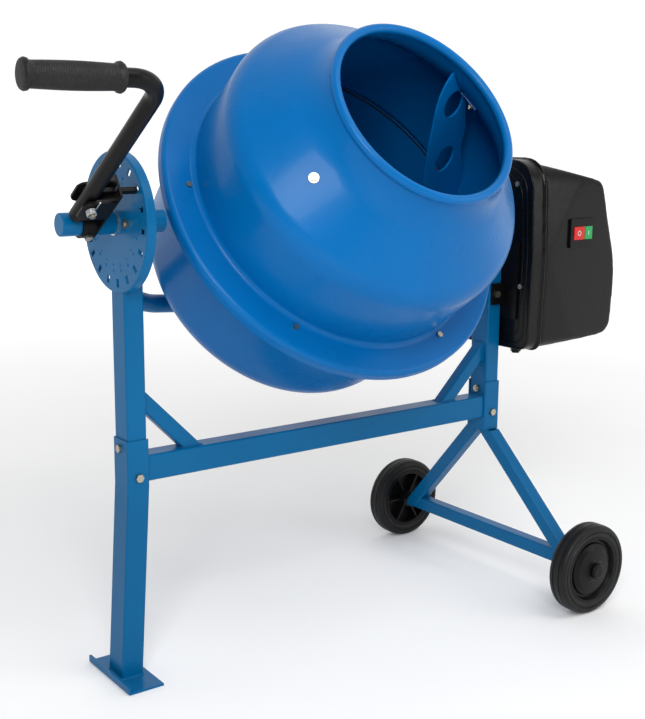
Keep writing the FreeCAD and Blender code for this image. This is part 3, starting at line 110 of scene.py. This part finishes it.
# ================================================================ mesh helpers
def joint_place(name):
    """Joint position, with local Z along the joint's axis and local X as near +X as it can be."""
    z = Vector(joints[name]["axis"]).normalized()
    x = Vector((1, 0, 0))
    if abs(z.dot(x)) > 0.9:
        x = Vector((0, 0, 1))
    x = (x - z * x.dot(z)).normalized()
    turn = Matrix((x, z.cross(x), z)).transposed().to_4x4()
    return Matrix.Translation(joints[name]["pos_m"]) @ turn


def as_object(name, bm, place=None, sharp=32.0):
    if place is not None:
        bm.transform(place)
    bmesh.ops.remove_doubles(bm, verts=bm.verts, dist=1e-7)
    bmesh.ops.recalc_face_normals(bm, faces=bm.faces)
    mesh = bpy.data.meshes.new(name)
    bm.to_mesh(mesh)
    bm.free()
    mesh.shade_smooth()
    mesh.set_sharp_from_angle(angle=math.radians(sharp))
    obj = bpy.data.objects.new(name, mesh)
    bpy.context.scene.collection.objects.link(obj)
    return obj


def finish_piece(obj, body, slot, *stands_for):
    obj.data.materials.clear()
    obj.data.materials.append(materials[slot])
    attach(obj, body)
    if stands_for:
        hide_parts(*stands_for)
    return obj


def rounded(line, radii, steps=10):
    """Open 2D line in millimetres with its inner corners rounded."""
    out = [line[0]]
    for k, radius in enumerate(radii, start=1):
        corner = Vector(line[k])
        before = (Vector(line[k - 1]) - corner).normalized()
        after = (Vector(line[k + 1]) - corner).normalized()
        half = before.angle(after) / 2
        reach = radius / math.tan(half)
        centre = corner + (before + after).normalized() * (radius / math.sin(half))
        start = corner + before * reach - centre
        sweep = math.pi - 2 * half
        side = 1 if before.x * after.y - before.y * after.x < 0 else -1
        for s in range(steps + 1):
            angle = side * sweep * s / steps
            turned = Vector((start.x * math.cos(angle) - start.y * math.sin(angle),
                             start.x * math.sin(angle) + start.y * math.cos(angle)))
            out.append(tuple(centre + turned))
    out.append(line[-1])
    return out


def thickened(line, thickness):
    """Closed outline of a sheet whose outer side is the line and whose other side lies inwards."""
    inner = []
    for k, point in enumerate(line):
        low = Vector(line[max(k - 1, 0)])
        high = Vector(line[min(k + 1, len(line) - 1)])
        way = (high - low).normalized()
        inner.append((point[0] + way.y * thickness, point[1] - way.x * thickness))
    return line + inner[::-1]


def lathe(name, outline, place, steps=DRUM_STEPS, closed=True, sharp=32.0):
    """Surface turned about local Z from an outline of (radius, height) in millimetres."""
    bm = bmesh.new()
    rings = []
    for radius, height in outline:
        count = steps if radius > 0.01 else 1
        rings.append([bm.verts.new((radius * MM * math.cos(2 * math.pi * k / steps),
                                    radius * MM * math.sin(2 * math.pi * k / steps), height * MM))
                      for k in range(count)])
    pairs = list(zip(rings, rings[1:])) + ([(rings[-1], rings[0])] if closed else [])
    for low, high in pairs:
        for k in range(steps):
            n = (k + 1) % steps
            loop = [low[k % len(low)], low[n % len(low)], high[n % len(high)], high[k % len(high)]]
            face = list(dict.fromkeys(loop))
            if len(face) > 2:
                bm.faces.new(face)
    return as_object(name, bm, place, sharp)


def ring(radius, height, thick, steps=16):
    return [(radius + thick * math.cos(2 * math.pi * k / steps),
             height + thick * math.sin(2 * math.pi * k / steps)) for k in range(steps)]


def prism(points, low, high, place):
    """Solid between two copies of a closed 2D outline; place turns (a, b, run) into a point."""
    bm = bmesh.new()
    ends = [[bm.verts.new(Vector(place(a, b, run)) * MM) for a, b in points] for run in (low, high)]
    for k in range(len(points)):
        n = (k + 1) % len(points)
        bm.faces.new((ends[0][k], ends[0][n], ends[1][n], ends[1][k]))
    bm.faces.new(ends[0][::-1])
    bm.faces.new(ends[1])
    return as_object("prism", bm)


def closed_round(points, radii, steps=10):
    """Closed 2D outline with every corner rounded."""
    start = [(a + b) / 2 for a, b in zip(points[-1], points[0])]
    line = rounded([tuple(start)] + points + [tuple(start)], radii, steps)
    return line[1:-1]


def baked(obj):
    """Replaces an object's mesh by the result of its modifiers."""
    bpy.context.view_layer.update()
    graph = bpy.context.evaluated_depsgraph_get()
    mesh = bpy.data.meshes.new_from_object(obj.evaluated_get(graph))
    obj.modifiers.clear()
    obj.data = mesh
    return obj


def moulded(name, blocks, cutters, voxel, passes):
    """Joins blocks, keeps what lies inside every cutter, and rounds all edges like a moulding."""
    bm = bmesh.new()
    for block in blocks:
        bm.from_mesh(block.data)
        bpy.data.objects.remove(block)
    obj = as_object(name, bm)
    remesh = obj.modifiers.new("volume", "REMESH")
    remesh.mode = "VOXEL"
    remesh.voxel_size = voxel * MM
    for cutter in cutters:
        cut = obj.modifiers.new("cut", "BOOLEAN")
        cut.operation = "INTERSECT"
        cut.object = cutter
        baked(obj)
        bpy.data.objects.remove(cutter)
    again = obj.modifiers.new("volume", "REMESH")
    again.mode = "VOXEL"
    again.voxel_size = voxel * MM
    smooth = obj.modifiers.new("soften", "SMOOTH")
    smooth.factor = 0.5
    smooth.iterations = passes
    baked(obj)
    obj.data.shade_smooth()
    return obj


def weld_bead(name, corners, thick, body, slot):
    """Rippled weld bead round a closed path of corner points, in metres."""
    path = []
    count = len(corners)
    pitch = 0.0009
    for k in range(count):
        start, end = Vector(corners[k]), Vector(corners[(k + 1) % count])
        steps = max(int((end - start).length / pitch), 1)
        path += [start.lerp(end, s / steps) for s in range(steps)]
    middle = sum(path, Vector()) / len(path)
    normal = (Vector(corners[1]) - Vector(corners[0])).cross(Vector(corners[2]) - Vector(corners[1]))
    normal.normalize()
    bm = bmesh.new()
    rings = []
    for k, point in enumerate(path):
        outward = point - middle
        outward = (outward - normal * outward.dot(normal)).normalized()
        size = thick * (1.0 + 0.16 * math.sin(k * 1.35) + 0.08 * math.sin(k * 0.37 + 1.0))
        rings.append([bm.verts.new(point + outward * size * math.cos(a) + normal * size * math.sin(a))
                      for a in [2 * math.pi * s / 10 for s in range(10)]])
    for k in range(len(rings)):
        low, high = rings[k], rings[(k + 1) % len(rings)]
        for s in range(10):
            n = (s + 1) % 10
            bm.faces.new((low[s], low[n], high[n], high[s]))
    return finish_piece(as_object(name, bm, sharp=80.0), body, slot)


# ================================================================ materials
class Shader:
    """A small builder for one node material."""

    def __init__(self, name):
        self.material = bpy.data.materials.new(name)
        self.material.use_nodes = True
        self.tree = self.material.node_tree
        self.surface = self.tree.nodes["Principled BSDF"]
        self.coords = self.add("ShaderNodeTexCoord").outputs["Object"]

    def add(self, kind, settings=None, **inputs):
        node = self.tree.nodes.new(kind)
        for key, value in (settings or {}).items():
            setattr(node, key, value)
        for key, value in inputs.items():
            socket = node.inputs[key.replace("_", " ")]
            if isinstance(value, bpy.types.NodeSocket):
                self.tree.links.new(value, socket)
            else:
                socket.default_value = value
        return node

    def stretch(self, scale):
        return self.add("ShaderNodeMapping", Vector=self.coords, Scale=scale).outputs["Vector"]

    def noise(self, scale, detail=4.0, rough=0.55, vector=None):
        return self.add("ShaderNodeTexNoise", Vector=vector or self.coords, Scale=scale,
                        Detail=detail, Roughness=rough).outputs["Fac"]

    def spread(self, value, low, high, start=0.3, end=0.7):
        node = self.add("ShaderNodeMapRange", Value=value)
        node.inputs["From Min"].default_value = start
        node.inputs["From Max"].default_value = end
        node.inputs["To Min"].default_value = low
        node.inputs["To Max"].default_value = high
        return node.outputs["Result"]

    def ramp(self, value, *stops):
        node = self.add("ShaderNodeValToRGB", Fac=value)
        points = node.color_ramp.elements
        while len(points) < len(stops):
            points.new(0.5)
        for point, (place, colour) in zip(points, stops):
            point.position = place
            point.color = (*colour, 1.0)
        return node.outputs["Color"]

    def mix(self, factor, first, second):
        node = self.add("ShaderNodeMix", {"data_type": "RGBA"})
        self.tree.links.new(factor, node.inputs[0])
        for socket, value in ((node.inputs[6], first), (node.inputs[7], second)):
            if isinstance(value, bpy.types.NodeSocket):
                self.tree.links.new(value, socket)
            else:
                socket.default_value = (*value, 1.0)
        return node.outputs[2]

    def bump(self, height, distance, strength=1.0, after=None):
        node = self.add("ShaderNodeBump", Height=height, Distance=distance, Strength=strength)
        if after is not None:
            self.tree.links.new(after, node.inputs["Normal"])
        return node.outputs["Normal"]

    def set(self, **inputs):
        for key, value in inputs.items():
            socket = self.surface.inputs[key.replace("_", " ")]
            if isinstance(value, bpy.types.NodeSocket):
                self.tree.links.new(value, socket)
            else:
                socket.default_value = value
        return self.material


def shade(colour, factor):
    return tuple(min(c * factor, 1.0) for c in colour)


def paint(name, colour, rough, peel, coat):
    """Sprayed or powder-coated steel: slow colour drift, orange peel, small runs and dust."""
    s = Shader(name)
    drift = s.ramp(s.noise(2.6, 3.0), (0.30, shade(colour, 0.90)), (0.70, shade(colour, 1.10)))
    specks = s.spread(s.noise(210.0, 2.0), 0.0, 0.14, 0.62, 0.80)
    tone = s.mix(specks, drift, shade(colour, 1.45))
    facing = s.add("ShaderNodeNewGeometry").outputs["Normal"]
    up = s.add("ShaderNodeSeparateXYZ", Vector=facing).outputs["Z"]
    settled = s.add("ShaderNodeMath", {"operation": "MULTIPLY"})
    s.tree.links.new(s.spread(up, 0.0, 0.035, 0.55, 1.0), settled.inputs[0])
    s.tree.links.new(s.spread(s.noise(14.0, 8.0, 0.65), 0.0, 1.0, 0.42, 0.62), settled.inputs[1])
    tone = s.mix(settled.outputs[0], tone, (0.35, 0.36, 0.37))
    smear = s.spread(s.noise(9.0, 5.0), rough - 0.05, rough + 0.09)
    skin = s.bump(s.noise(230.0, 2.0), peel * MM, 0.6)
    skin = s.bump(s.noise(26.0, 2.0), peel * 3.0 * MM, 0.35, skin)
    return s.set(Base_Color=tone, Roughness=smear, Normal=skin, Coat_Weight=coat, Coat_Roughness=0.10,
                 Specular_IOR_Level=0.11)


def plastic(name, colour, rough, grain, coat=0.0):
    """Moulded plastic: fine spark-eroded grain, faint flow marks and handling marks."""
    s = Shader(name)
    flow = s.noise(5.0, 4.0, 0.6, s.stretch((1.0, 1.0, 0.35)))
    tone = s.ramp(flow, (0.32, shade(colour, 0.80)), (0.70, shade(colour, 1.30)))
    marks = s.spread(s.noise(60.0, 8.0, 0.7), rough - 0.05, rough + 0.10)
    skin = s.bump(s.noise(900.0, 3.0), grain * MM, 0.7)
    return s.set(Base_Color=tone, Roughness=marks, Normal=skin, Coat_Weight=coat, Coat_Roughness=0.12,
                 Specular_IOR_Level=0.14)


def rubber(name, colour, rough, grain, scale):
    """Matt rubber with a pebbled skin and a dusty bloom."""
    s = Shader(name)
    bloom = s.spread(s.noise(24.0, 7.0, 0.7), 0.0, 0.40, 0.45, 0.75)
    base = s.ramp(s.noise(7.0), (0.3, shade(colour, 0.8)), (0.7, shade(colour, 1.25)))
    tone = s.mix(bloom, base, shade(colour, 3.2))
    cells = s.add("ShaderNodeTexVoronoi", Vector=s.coords, Scale=scale).outputs["Distance"]
    skin = s.bump(cells, grain * MM, 0.8)
    roughness = s.spread(s.noise(40.0, 5.0), rough - 0.08, rough + 0.10)
    return s.set(Base_Color=tone, Roughness=roughness, Normal=skin, Specular_IOR_Level=0.25)


def metal(name, stops, rough, scratch, drift=30.0, direction=(1.0, 1.0, 14.0)):
    """Bare or plated metal: patchy tone and fine scratches along one direction."""
    s = Shader(name)
    tone = s.ramp(s.noise(drift, 4.0, 0.6), *stops)
    lines = s.noise(420.0, 4.0, 0.7, s.stretch(direction))
    skin = s.bump(lines, scratch * MM, 0.5)
    roughness = s.spread(lines, rough - 0.07, rough + 0.12)
    return s.set(Base_Color=tone, Metallic=1.0, Roughness=roughness, Normal=skin)


def casting(name, colour, rough, metallic):
    """As-cast skin with sand texture."""
    s = Shader(name)
    tone = s.ramp(s.noise(18.0, 6.0), (0.3, shade(colour, 0.75)), (0.72, shade(colour, 1.5)))
    skin = s.bump(s.noise(520.0, 5.0, 0.7), 0.35 * MM, 0.7)
    roughness = s.spread(s.noise(60.0), rough - 0.1, rough + 0.1)
    return s.set(Base_Color=tone, Metallic=metallic, Roughness=roughness, Normal=skin)


DRUM_BLUE = (0.0, 0.122, 0.375)
FRAME_BLUE = (0.0, 0.108, 0.270)
materials = {
    "drum_blue": paint("drum_blue", DRUM_BLUE, 0.26, 0.022, coat=0.07),
    # The blade's paint is the drum blue made 1.3 times lighter: a painted highlight that stands in for the light
    # the blade catches inside the drum.
    "blade_blue": paint("blade_blue", shade(DRUM_BLUE, 1.30), 0.30, 0.022, coat=0.05),
    "frame_blue": paint("frame_blue", FRAME_BLUE, 0.32, 0.025, coat=0.06),
    "yoke_blue": paint("yoke_blue", shade(FRAME_BLUE, 1.08), 0.30, 0.022, coat=0.06),
    "black_paint": paint("black_paint", (0.004, 0.004, 0.0045), 0.34, 0.025, coat=0.04),
    "zinc": metal("zinc", [(0.30, (0.40, 0.40, 0.39)), (0.52, (0.43, 0.40, 0.32)),
                           (0.72, (0.45, 0.39, 0.26))], 0.30, 0.02, 90.0),
    "steel": metal("steel", [(0.3, (0.50, 0.51, 0.52)), (0.7, (0.62, 0.62, 0.62))], 0.28, 0.02),
    "motor_alloy": metal("motor_alloy", [(0.3, (0.36, 0.37, 0.38)), (0.7, (0.46, 0.46, 0.47))],
                         0.45, 0.06),
    "cast_black": casting("cast_black", (0.022, 0.022, 0.023), 0.55, 0.3),
    "black_gloss": plastic("black_gloss", (0.003, 0.003, 0.0033), 0.22, 0.010, coat=0.06),
    "black_matte": plastic("black_matte", (0.005, 0.005, 0.0053), 0.32, 0.02),
    "tyre_black": rubber("tyre_black", (0.0065, 0.0065, 0.007), 0.46, 0.10, 700.0),
    "belt_rubber": rubber("belt_rubber", (0.012, 0.012, 0.012), 0.6, 0.10, 500.0),
    "grip_rubber": rubber("grip_rubber", (0.009, 0.009, 0.009), 0.52, 0.55, 260.0),
    "stop_red": plastic("stop_red", (0.56, 0.012, 0.010), 0.22, 0.008, coat=0.3),
    "start_green": plastic("start_green", (0.008, 0.30, 0.075), 0.22, 0.008, coat=0.3),
    "mark_white": plastic("mark_white", (0.62, 0.62, 0.60), 0.4, 0.01),
}

slot_of = {s["node"]: s["material_slot"] for s in frame["record"]["subparts"]}
for name, node in nodes.items():
    slot = slot_of[name]
    node.data.materials.clear()
    node.data.materials.append(materials[slot])


# ================================================================ drum
def drum_pieces():
    place = joint_place("drum_spin")
    upper_sheet = thickened(rounded(UPPER_LINE, UPPER_ROUND, BEND_STEPS), SHEET)
    upper = lathe("drum_upper_sheet", upper_sheet, place)
    mouth_radius, mouth_height = UPPER_LINE[0]
    bead = lathe("drum_mouth_bead", ring(mouth_radius, mouth_height - 1.0, BEAD_RADIUS, 24), place)
    finish_piece(upper, "drum", "drum_blue", "drum_upper")
    finish_piece(bead, "drum", "drum_blue")
    bowl_sheet = thickened(rounded(BOWL_LINE, BOWL_ROUND, BEND_STEPS), SHEET)
    bowl = lathe("drum_bowl_sheet", bowl_sheet, place)
    finish_piece(bowl, "drum", "drum_blue", "drum_bowl")
    seal = lathe("drum_seam_seal", ring(*SEAL_AT, SEAL_RADIUS, 10), place)
    finish_piece(seal, "drum", "belt_rubber")


# ================================================================ wheels
def tyre_outline(radius, width, seat):
    """Solid tyre: flat tread with two shallow grooves, and a stepped sidewall."""
    half = width / 2
    right = [(seat, half - 3.0), (seat + 3.5, half - 0.6), (seat + 9.0, half - 0.6),
             (seat + 10.0, half - 2.0), (seat + 11.5, half - 2.0), (seat + 12.5, half - 0.3),
             (radius - 7.0, half - 0.2),
             (radius - 4.0, half - 1.4), (radius - 1.6, half - 4.0), (radius - 0.5, half - 7.0),
             (radius - 0.1, 8.4), (radius - 1.4, 7.8), (radius - 1.4, 6.2), (radius - 0.05, 5.6)]
    return right + [(r, -x) for r, x in right[::-1]]


def wheel_pieces():
    for side in ("front", "rear"):
        body = side + "_wheel"
        low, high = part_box(body + "_tyre")
        radius = (high.z - low.z) / 2 / MM
        width = (high.y - low.y) / MM
        seat = (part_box(body + "_rim")[1].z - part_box(body + "_rim")[0].z) / 2 / MM
        place = joint_place(body + "_spin")
        place = Matrix.Translation((low + high) / 2) @ place.to_3x3().to_4x4()
        tyre = lathe(body + "_tyre_rubber", tyre_outline(radius, width, seat), place, 128, sharp=28.0)
        finish_piece(tyre, body, "tyre_black", body + "_tyre")


# ================================================================ lever grip
def grip_piece():
    low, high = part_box("lever_grip")
    length = (high.x - low.x) / MM
    edge = (high.z - low.z) / 2 / MM
    outline = [(0.0, 0.0), (edge - 5.0, 0.0), (edge - 1.5, 1.2), (edge, 4.0), (edge - 0.6, 7.5),
               (edge - 3.6, 10.0), (17.6, 12.5)]
    start, end = 14.0, length - 14.0
    for k in range(GRIP_RIBS * 4 + 1):
        run = k / (GRIP_RIBS * 4)
        body = 17.4 + 1.2 * math.sin(math.pi * run)
        wave = 0.42 * math.cos(2 * math.pi * run * GRIP_RIBS)
        outline.append((body + wave, start + (end - start) * run))
    outline += [(17.6, length - 12.5), (edge - 3.6, length - 10.0), (edge - 0.6, length - 7.5),
                (edge, length - 4.0), (edge - 1.5, length - 1.2), (edge - 4.0, length),
                (LEVER_TUBE, length)]
    place = Matrix.Translation((low.x, (low.y + high.y) / 2, (low.z + high.z) / 2))
    place = place @ Matrix.Rotation(math.radians(90), 4, "Y")
    grip = lathe("lever_grip_rubber", outline, place, 96, closed=False, sharp=60.0)
    finish_piece(grip, "lever_arm", "grip_rubber", "lever_grip")


# ================================================================ locking disc
def disc_dimples():
    """Small pressed domes between the disc's locking slots."""
    low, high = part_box("locking_disc")
    centre = Vector(joints["tilt"]["pos_m"])
    bm = bmesh.new()
    for k in range(DISC_SLOTS):
        for radius, size in DIMPLES:
            angle = math.radians(360.0 * (k + 0.5) / DISC_SLOTS + TILT_DEG)
            at = Vector((low.x, centre.y - radius * math.sin(angle),
                         centre.z + radius * math.cos(angle)))
            dome = bmesh.ops.create_uvsphere(bm, u_segments=16, v_segments=10, radius=size)
            bmesh.ops.scale(bm, verts=dome["verts"], vec=(0.42, 1.0, 1.0))
            bmesh.ops.translate(bm, verts=dome["verts"], vec=at)
    finish_piece(as_object("locking_disc_dimples", bm), "frame", "yoke_blue")


# ================================================================ motor housing
def shift_of_model():
    """From the stand's own layout, X = 0 at the left post, to the model's frame, in millimetres."""
    low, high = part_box("left_post")
    return Vector(((low.x + high.x) / 2, (low.y + high.y) / 2, 0.0)) / MM


def end_outline(half, low, high):
    points = [(-half + 6, low), (half - 6, low), (half, (low + high) / 2), (half - 8, high),
              (-half + 8, high), (-half, (low + high) / 2)]
    return closed_round(points, [LOW_ROUND, LOW_ROUND, 300.0, TOP_ROUND, TOP_ROUND, 300.0])


def housing_pieces():
    shift = shift_of_model()

    def along_x(y, z, x):
        return (x + shift.x, y + shift.y, z)

    def along_y(x, z, y):
        return (x + shift.x, y + shift.y, z)

    def along_z(x, y, z):
        return (x + shift.x, y + shift.y, z)

    side = [(SEAM - 60, 495.0), *COVER_END[::-1], (SEAM - 60, 889.0)]
    side_round = [1.0, *COVER_END_ROUND[::-1], 1.0]
    end_x = COVER_END[1][0] + 30
    taper = COVER_TAPER * (end_x - SEAM) / (COVER_END[1][0] - SEAM)
    plan = [(SEAM - 60, -102.5), (SEAM, -102.5), (end_x, -102.5 + taper), (end_x, 102.5 - taper),
            (SEAM, 102.5), (SEAM - 60, 102.5)]
    shell = end_outline(HALF_WIDTH, HOUSING_LOW, HOUSING_HIGH)
    block = prism(shell, SEAM, end_x, along_x)
    cutters = [prism(closed_round(side, side_round, 14), -200, 200, along_y),
               prism(plan, 400, 1000, along_z)]
    cover = moulded("housing_cover_shell", [block], cutters, 2.6, 26)
    finish_piece(cover, "frame", "black_gloss", "housing_cover")

    body = prism(shell, BACK_X, SEAM, along_x)
    lip_line = end_outline(HALF_WIDTH + LIP, HOUSING_LOW - LIP, HOUSING_HIGH + LIP)
    lip = prism(lip_line, SEAM - 6.0, SEAM, along_x)
    back = moulded("housing_back_shell", [body, lip], [], 2.0, 7)
    finish_piece(back, "frame", "black_gloss", "housing_back")
    for inset, name in ((14.0, "rib_outer"), (26.0, "rib_inner")):
        outline = end_outline(HALF_WIDTH - inset, HOUSING_LOW + inset, HOUSING_HIGH - inset)
        path = [Vector(along_x(y, z, BACK_X + 0.4)) * MM for y, z in outline]
        bm = bmesh.new()
        rings = []
        middle = sum(path, Vector()) / len(path)
        for point in path:
            outward = (point - middle).normalized()
            rings.append([bm.verts.new(point + outward * RIB_SIZE * math.cos(a)
                                       - Vector((RIB_SIZE * math.sin(a), 0, 0)))
                          for a in [2 * math.pi * s / 10 for s in range(10)]])
        for k in range(len(rings)):
            first, second = rings[k], rings[(k + 1) % len(rings)]
            for s in range(10):
                bm.faces.new((first[s], first[(s + 1) % 10], second[(s + 1) % 10], second[s]))
        finish_piece(as_object("housing_" + name, bm, sharp=80.0), "frame", "black_gloss")


# ================================================================ switch marks
def switch_marks():
    """Raised ring on the stop button and bar on the start button."""
    lean = Matrix.Rotation(math.atan2(COVER_TAPER, COVER_END[1][0] - SEAM), 4, "Z")
    for node, body in (("stop_button", "stop"), ("start_button", "start")):
        low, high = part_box(node)
        middle = (low + high) / 2
        face = Vector((middle.x, low.y + 0.0012, middle.z))
        outward = lean @ Matrix.Rotation(math.radians(90), 4, "X")
        place = Matrix.Translation(face) @ outward
        if node == "stop_button":
            mark = lathe("stop_mark", ring(4.6, 0.0, 0.8, 10), place, 48)
        else:
            line = [(0.0, -0.8), (1.0, -0.6), (1.0, 0.6), (0.0, 0.8)]
            stretched = place @ Matrix.Diagonal((1.0, 5.0, 1.0, 1.0))
            mark = lathe("start_mark", line, stretched, 32, closed=False)
        finish_piece(mark, body, "mark_white")


# ================================================================ weld beads
def weld_beads():
    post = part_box("left_post")
    far_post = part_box("right_post")
    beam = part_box("cross_beam")
    y = (beam[0].y + beam[1].y) / 2
    half = (beam[1].y - beam[0].y) / 2
    for k, x in enumerate((beam[0].x, beam[1].x)):
        corners = [(x, y - half, beam[0].z), (x, y + half, beam[0].z),
                   (x, y + half, beam[1].z), (x, y - half, beam[1].z)]
        weld_bead(f"weld_beam_{k}", corners, BEAM_BEAD, "frame", "frame_blue")
    reach, long, wide = BRACE_REACH, BRACE_LONG, BRACE_WIDE
    for k, (x, way) in enumerate(((post[1].x, 1), (far_post[0].x, -1))):
        top = beam[1].z
        near, far = x + way * (reach - long), x + way * (reach + long)
        corners = [(near, y - wide, top), (far, y - wide, top),
                   (far, y + wide, top), (near, y + wide, top)]
        weld_bead(f"weld_brace_low_{k}", corners, BRACE_BEAD, "frame", "frame_blue")
        corners = [(x, y - wide, top + reach - long), (x, y - wide, top + reach + long),
                   (x, y + wide, top + reach + long), (x, y + wide, top + reach - long)]
        weld_bead(f"weld_brace_high_{k}", corners, BRACE_BEAD, "frame", "frame_blue")
    low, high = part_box("support_leg")
    end_x = low.x + LEG_TUBE
    corners = [(low.x, low.y, low.z), (end_x, low.y, low.z),
               (end_x, high.y, low.z), (low.x, high.y, low.z)]
    weld_bead("weld_foot", corners, BEAM_BEAD, "frame", "frame_blue")


drum_pieces()
wheel_pieces()
grip_piece()
disc_dimples()
housing_pieces()
switch_marks()
weld_beads()


# ================================================================ stage, light and camera
FLOOR_RADIUS = 30.0           # metres
AWAY = (0.58, 0.81, 0.0)      # from the side it is looked at to the side behind it


def stage():
    """Pale paper sweep: lit by the lamps near the machine, glowing like a lit backdrop far away."""
    bm = bmesh.new()
    bmesh.ops.create_circle(bm, cap_ends=True, segments=96, radius=FLOOR_RADIUS)
    floor = as_object("floor", bm)
    s = Shader("floor_paper")
    tone = s.ramp(s.noise(1.2, 3.0), (0.3, (0.88, 0.88, 0.88)), (0.7, (0.91, 0.91, 0.91)))
    away = s.add("ShaderNodeVectorMath", {"operation": "LENGTH"})
    s.tree.links.new(s.coords, away.inputs[0])
    glow = s.spread(away.outputs["Value"], 0.06, 0.62, 1.2, 5.5)
    floor.data.materials.append(s.set(Base_Color=tone, Roughness=s.spread(s.noise(9.0), 0.75, 0.85),
                                      Emission_Color=(1.0, 1.0, 1.0, 1.0), Emission_Strength=glow))


def area_light(name, at, towards, size, power):
    light = bpy.data.lights.new(name, "AREA")
    light.shape = "RECTANGLE"
    light.size, light.size_y = size
    light.energy = power
    obj = bpy.data.objects.new(name, light)
    obj.location = at
    obj.rotation_euler = (Vector(towards) - Vector(at)).to_track_quat("-Z", "Y").to_euler()
    bpy.context.scene.collection.objects.link(obj)


def camera():
    heading, pitch = math.radians(CAMERA_HEADING), math.radians(CAMERA_PITCH)
    forward = Vector((math.sin(heading) * math.cos(pitch), math.cos(heading) * math.cos(pitch),
                      math.sin(pitch)))
    data = bpy.data.cameras.new("camera")
    data.sensor_width = 36.0
    data.lens = CAMERA_LENS
    data.shift_x, data.shift_y = CAMERA_SHIFT
    obj = bpy.data.objects.new("camera", data)
    turn = forward.to_track_quat("-Z", "Y").to_matrix().to_4x4()
    at = (Vector(CAMERA_AT) + shift_of_model()) * MM
    obj.matrix_world = Matrix.Translation(at) @ turn @ Matrix.Rotation(math.radians(CAMERA_ROLL), 4, "Z")
    bpy.context.scene.collection.objects.link(obj)
    bpy.context.scene.camera = obj


def surroundings(away, front, back):
    """Studio walls: bright behind the machine, dim on the side it is looked at from."""
    world = bpy.data.worlds.new("studio")
    world.use_nodes = True
    tree = world.node_tree
    background = tree.nodes["Background"]
    background.inputs["Color"].default_value = (1.0, 1.0, 1.0, 1.0)
    coords = tree.nodes.new("ShaderNodeTexCoord")
    facing = tree.nodes.new("ShaderNodeVectorMath")
    facing.operation = "DOT_PRODUCT"
    facing.inputs[1].default_value = away
    level = tree.nodes.new("ShaderNodeMapRange")
    level.interpolation_type = "SMOOTHSTEP"
    level.inputs["From Min"].default_value = -0.5
    level.inputs["From Max"].default_value = 0.75
    level.inputs["To Min"].default_value = front
    level.inputs["To Max"].default_value = back
    tree.links.new(coords.outputs["Generated"], facing.inputs[0])
    tree.links.new(facing.outputs["Value"], level.inputs["Value"])
    tree.links.new(level.outputs["Result"], background.inputs["Strength"])
    bpy.context.scene.world = world


surroundings(AWAY, 0.30, 1.05)
bpy.context.scene.view_settings.view_transform = "Standard"
stage()
area_light("key", (-1.7, -2.3, 2.3), (0.0, -0.1, 0.8), (1.4, 1.4), 58.0)
area_light("fill", (2.6, -2.8, 1.8), (0.1, 0.0, 0.7), (1.6, 2.4), 24.0)
area_light("top", (0.3, -1.7, 3.3), (0.0, 0.0, 0.75), (1.8, 1.8), 30.0)
camera()
